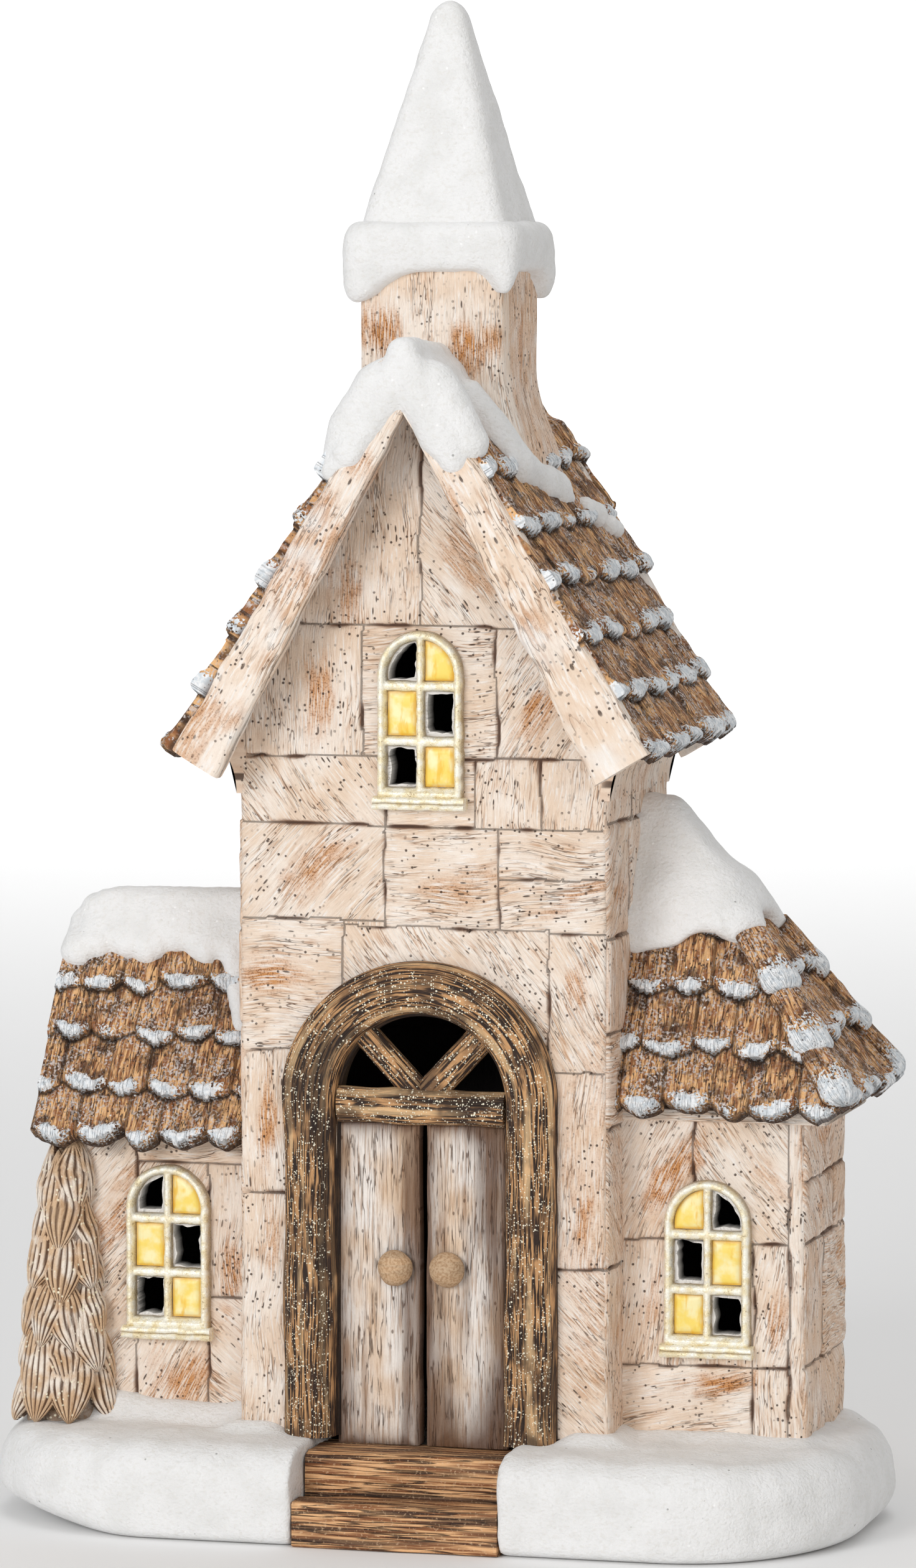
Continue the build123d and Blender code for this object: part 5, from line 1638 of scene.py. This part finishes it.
def build_steps():
    """Two plank steps; the upper one runs in under the door."""
    for node, seed, back in (("lower_step", 171, 0.0), ("upper_step", 175, 5.0)):
        low, high = cad(node)
        high = high + (0, back, 0)
        a, b = soft_section(140, 0.18)
        y = (low[1] + high[1]) / 2 + a * (high[1] - low[1]) / 2
        z = (low[2] + high[2]) / 2 + b * (high[2] - low[2]) / 2
        girth = np.append(0, np.hypot(np.diff(y), np.diff(z)).cumsum())
        places = np.linspace(low[0], high[0], 150)[:, None]
        grain = spot(girth, places, seed)
        bend = grain + spot(0.9 * noise(grain * (0.4, 1, 1), 12.0, seed), 0, 0)
        fibre = carved(bend, seed + 1, (0.06, 1.3, 0.35), (0.05, 3.4, 0.5))
        gap = smooth(0.35, 0.6, noise(bend * (1, 0.025, 1), 2.6, seed + 3))
        carve = fibre - 0.8 * gap + 0.4 * noise(grain * (0.3, 1, 1), 9.0, seed + 4)
        front, top = a < -0.7, b > 0.7
        rings = spot(places, y - front * carve, z + top * carve)
        cavity = np.clip(gap + 0.7 * smooth(0.0, -0.5, fibre), 0, 1)
        fit(tube(node + "_planks", rings, {"grain": grain, "cavity": cavity}), "step_board", node)


def build_fir():
    """Fir of drooping, carved boughs round a core, wrapped round the left corner."""
    low, high = cad("fir_tree")
    axis = ((low[0] + high[0]) / 2 - 0.6, (low[1] + high[1]) / 2 - 0.5)
    height, tiers, bough_length, bough_half = high[2] - low[2], 6, 19.0, 5.0
    rng = np.random.default_rng(7)
    pieces = []
    for tier, share in enumerate(np.linspace(0.0, 0.8, tiers)):
        reach = 11.6 - 8.4 * share
        count = 6 if share < 0.5 else 5
        turns = np.linspace(-150, 90, count) + 24 * (tier % 2) - 12
        for bough, turn in enumerate(turns + rng.uniform(-10, 10, count)):
            size = (1.0 - 0.3 * share) * rng.uniform(0.85, 1.2)
            bottom = low[2] - 2.0 + height * share + rng.uniform(-2.5, 2.5)
            tilt = rng.uniform(-0.35, 0.35)
            sizes = (bottom, reach, bough_length * size, bough_half * size)
            pieces.append(make_bough(axis, *sizes, radians(turn), tilt, tier * 10 + bough))
    pieces.append(make_core(axis, low[2] - 1, high[2]))
    marks = {key: np.concatenate([piece[2][key] for piece in pieces]) for key in ("cavity", "grain")}
    fit(add_mesh("fir_tree_boughs", *merged(pieces), marks), "fir", "fir_tree")


def make_core(axis, bottom, top):
    """Rough cone behind the boughs, darkened as painted shade between them."""
    turn, share = circle(48), np.linspace(0, 1, 30)[:, None]
    radius = 8.4 - 4.2 * share - 3.2 * smooth(0.8, 1.0, share) + 0.4 * np.sin(turn * 7 + share * 20)
    x, y = axis[0] + radius * np.cos(turn), axis[1] + radius * np.sin(turn)
    points, faces = tube_arrays(spot(x, y, bottom + (top - bottom) * share))
    return points, faces, {"cavity": np.full(len(points), 0.6), "grain": points}


def make_bough(axis, bottom, reach, length, half_width, turn, tilt, seed):
    """Leaf-shaped bough that droops from the trunk, pointed at both ends, with lines carved along it."""
    s, a = np.meshgrid(np.linspace(0.01, 0.99, 36), circle(80), indexing="ij")
    drop = np.sin(pi * s**1.2) ** 0.8
    across, out = np.cos(a), np.sin(a)
    wobble = 1.1 * noise(spot(s * 5, across * 2, seed), 1.3, seed)
    lines = np.cos(across * (23.0 + 3.0 * s) + 1.5 * wobble)
    carve = smooth(0.2, -0.9, lines) * smooth(0.02, 0.15, out) * smooth(0.05, 0.2, s)
    spine = reach * (0.5 + 0.46 * s**1.3)
    radius = spine + (2.7 * drop**0.7 * out - 0.42 * carve * drop)
    angle = turn + tilt * (s - 0.5) + across * half_width * drop / np.maximum(spine, 3.0)
    height = bottom + length * (1 - s) + 1.2 * noise(spot(s * 3, seed, 0.0), 1.0, seed + 1)
    x, y = axis[0] + radius * np.sin(angle), axis[1] - radius * np.cos(angle)
    points, faces = tube_arrays(spot(x, y, height))
    # Brown in the carved lines, and painted shade on the side of each bough that faces the trunk.
    cavity = np.clip(0.9 * carve + smooth(0.25, -0.2, out), 0, 1).reshape(-1)
    grain = spot(across * half_width, s * length, seed * 3.1).reshape(-1, 3)
    marks = {"cavity": np.append(cavity, (1.0, 1.0)), "grain": np.concatenate([grain, np.zeros((2, 3))])}
    return points, faces, marks


# Light unit and studio


def paint_lamp():
    """Paints the CAD pieces of the light unit."""
    for entry in frame["record"]["subparts"]:
        node = frame["nodes"][entry["node"]]
        if not node.hide_render:
            node.data.materials.clear()
            node.data.materials.append(paints[entry["material_slot"]])


def build_sweep():
    """Pale floor that curves up into a wall behind the house, in metres."""
    near, bend, radius, top, half_width = -9.0, 4.2, 0.9, 3.0, 9.0
    curve = [(bend + radius * sin(t), radius - radius * cos(t)) for t in np.linspace(0.1, pi / 2, 14)]
    profile = [(near, 0.0), (bend, 0.0), *curve, (bend + radius, top)]
    points = np.array([(x, y, z) for y, z in profile for x in (-half_width, half_width)]) / MM
    index = np.arange(len(points)).reshape(-1, 2)
    quads = np.stack([index[:-1, 0], index[:-1, 1], index[1:, 1], index[1:, 0]], -1)
    floor = add_mesh("studio_sweep", points, [quads], crease=180)
    paint = Paint("studio", roughness=0.9)
    paint.shader.inputs["Base Color"].default_value = tint(247, 247, 247)
    floor.data.materials.append(paint.material)


def look_rotation(direction):
    """Turn that points an object's -Z along a direction, with its Y up."""
    return Vector(direction).to_track_quat("-Z", "Y").to_euler()


def build_lights():
    """Even white surroundings and soft area lights, in metres and watts."""
    world = bpy.data.worlds.new("studio")
    world.use_nodes = True
    world.node_tree.nodes["Background"].inputs["Color"].default_value = (1.0, 1.0, 1.0, 1.0)
    world.node_tree.nodes["Background"].inputs["Strength"].default_value = 0.42
    bpy.context.scene.world = world
    target, white, warm = (0.0, 0.0, 0.15), (1.0, 1.0, 1.0), (1.0, 0.94, 0.86)
    for name, place, aim, power, size, colour in (
        ("key", (-0.52, -1.6, 0.6), target, 11.0, 0.6, white),
        ("fill", (0.9, -1.4, 0.5), target, 3.8, 1.0, warm),
        ("top", (0.1, -0.1, 1.5), target, 4.6, 1.0, white),
        ("backdrop_near", (-0.5, 1.8, 1.7), (-0.8, 3.0, 0.0), 26.0, 1.2, white),
        ("backdrop_far", (-1.2, 3.5, 1.7), (-1.5, 4.8, 0.2), 26.0, 1.2, white),
    ):
        light = bpy.data.lights.new(name, "AREA")
        light.energy, light.size, light.color = power, size, colour
        lamp = bpy.data.objects.new(name, light)
        lamp.location = place
        lamp.visible_camera = False
        lamp.rotation_euler = look_rotation(np.array(aim) - np.array(place))
        bpy.context.scene.collection.objects.link(lamp)


def build_camera():
    """Long lens, a little to the right of the front and slightly above."""
    azimuth, elevation, distance = radians(15), radians(4.5), 1.5
    target = np.array((-0.0012, 0.0, 0.16))
    back = np.array((sin(azimuth) * cos(elevation), -cos(azimuth) * cos(elevation), sin(elevation)))
    data = bpy.data.cameras.new("camera")
    data.lens, data.sensor_width = 162.86, 36.0
    data.shift_x, data.shift_y = 0.00536, -0.0139
    data.clip_end = 50.0
    camera = bpy.data.objects.new("camera", data)
    camera.location = target + distance * back
    camera.rotation_euler = look_rotation(-back)
    bpy.context.scene.collection.objects.link(camera)
    bpy.context.scene.camera = camera
    bpy.context.scene.view_settings.view_transform = "Standard"


build_tower()
build_wings()
build_main_roof()
build_left_roof()
build_right_roof()
build_bargeboards()
build_steeple_shaft()
build_spire()
build_ridge_snow()
build_left_snow()
build_right_snow()
build_base()
build_door_frame()
build_doorway()
for window_name, each_window in windows.items():
    build_window_frame(window_name, each_window)
    build_panes(window_name, each_window)
build_steps()
build_fir()
paint_lamp()
build_sweep()
build_lights()
build_camera()
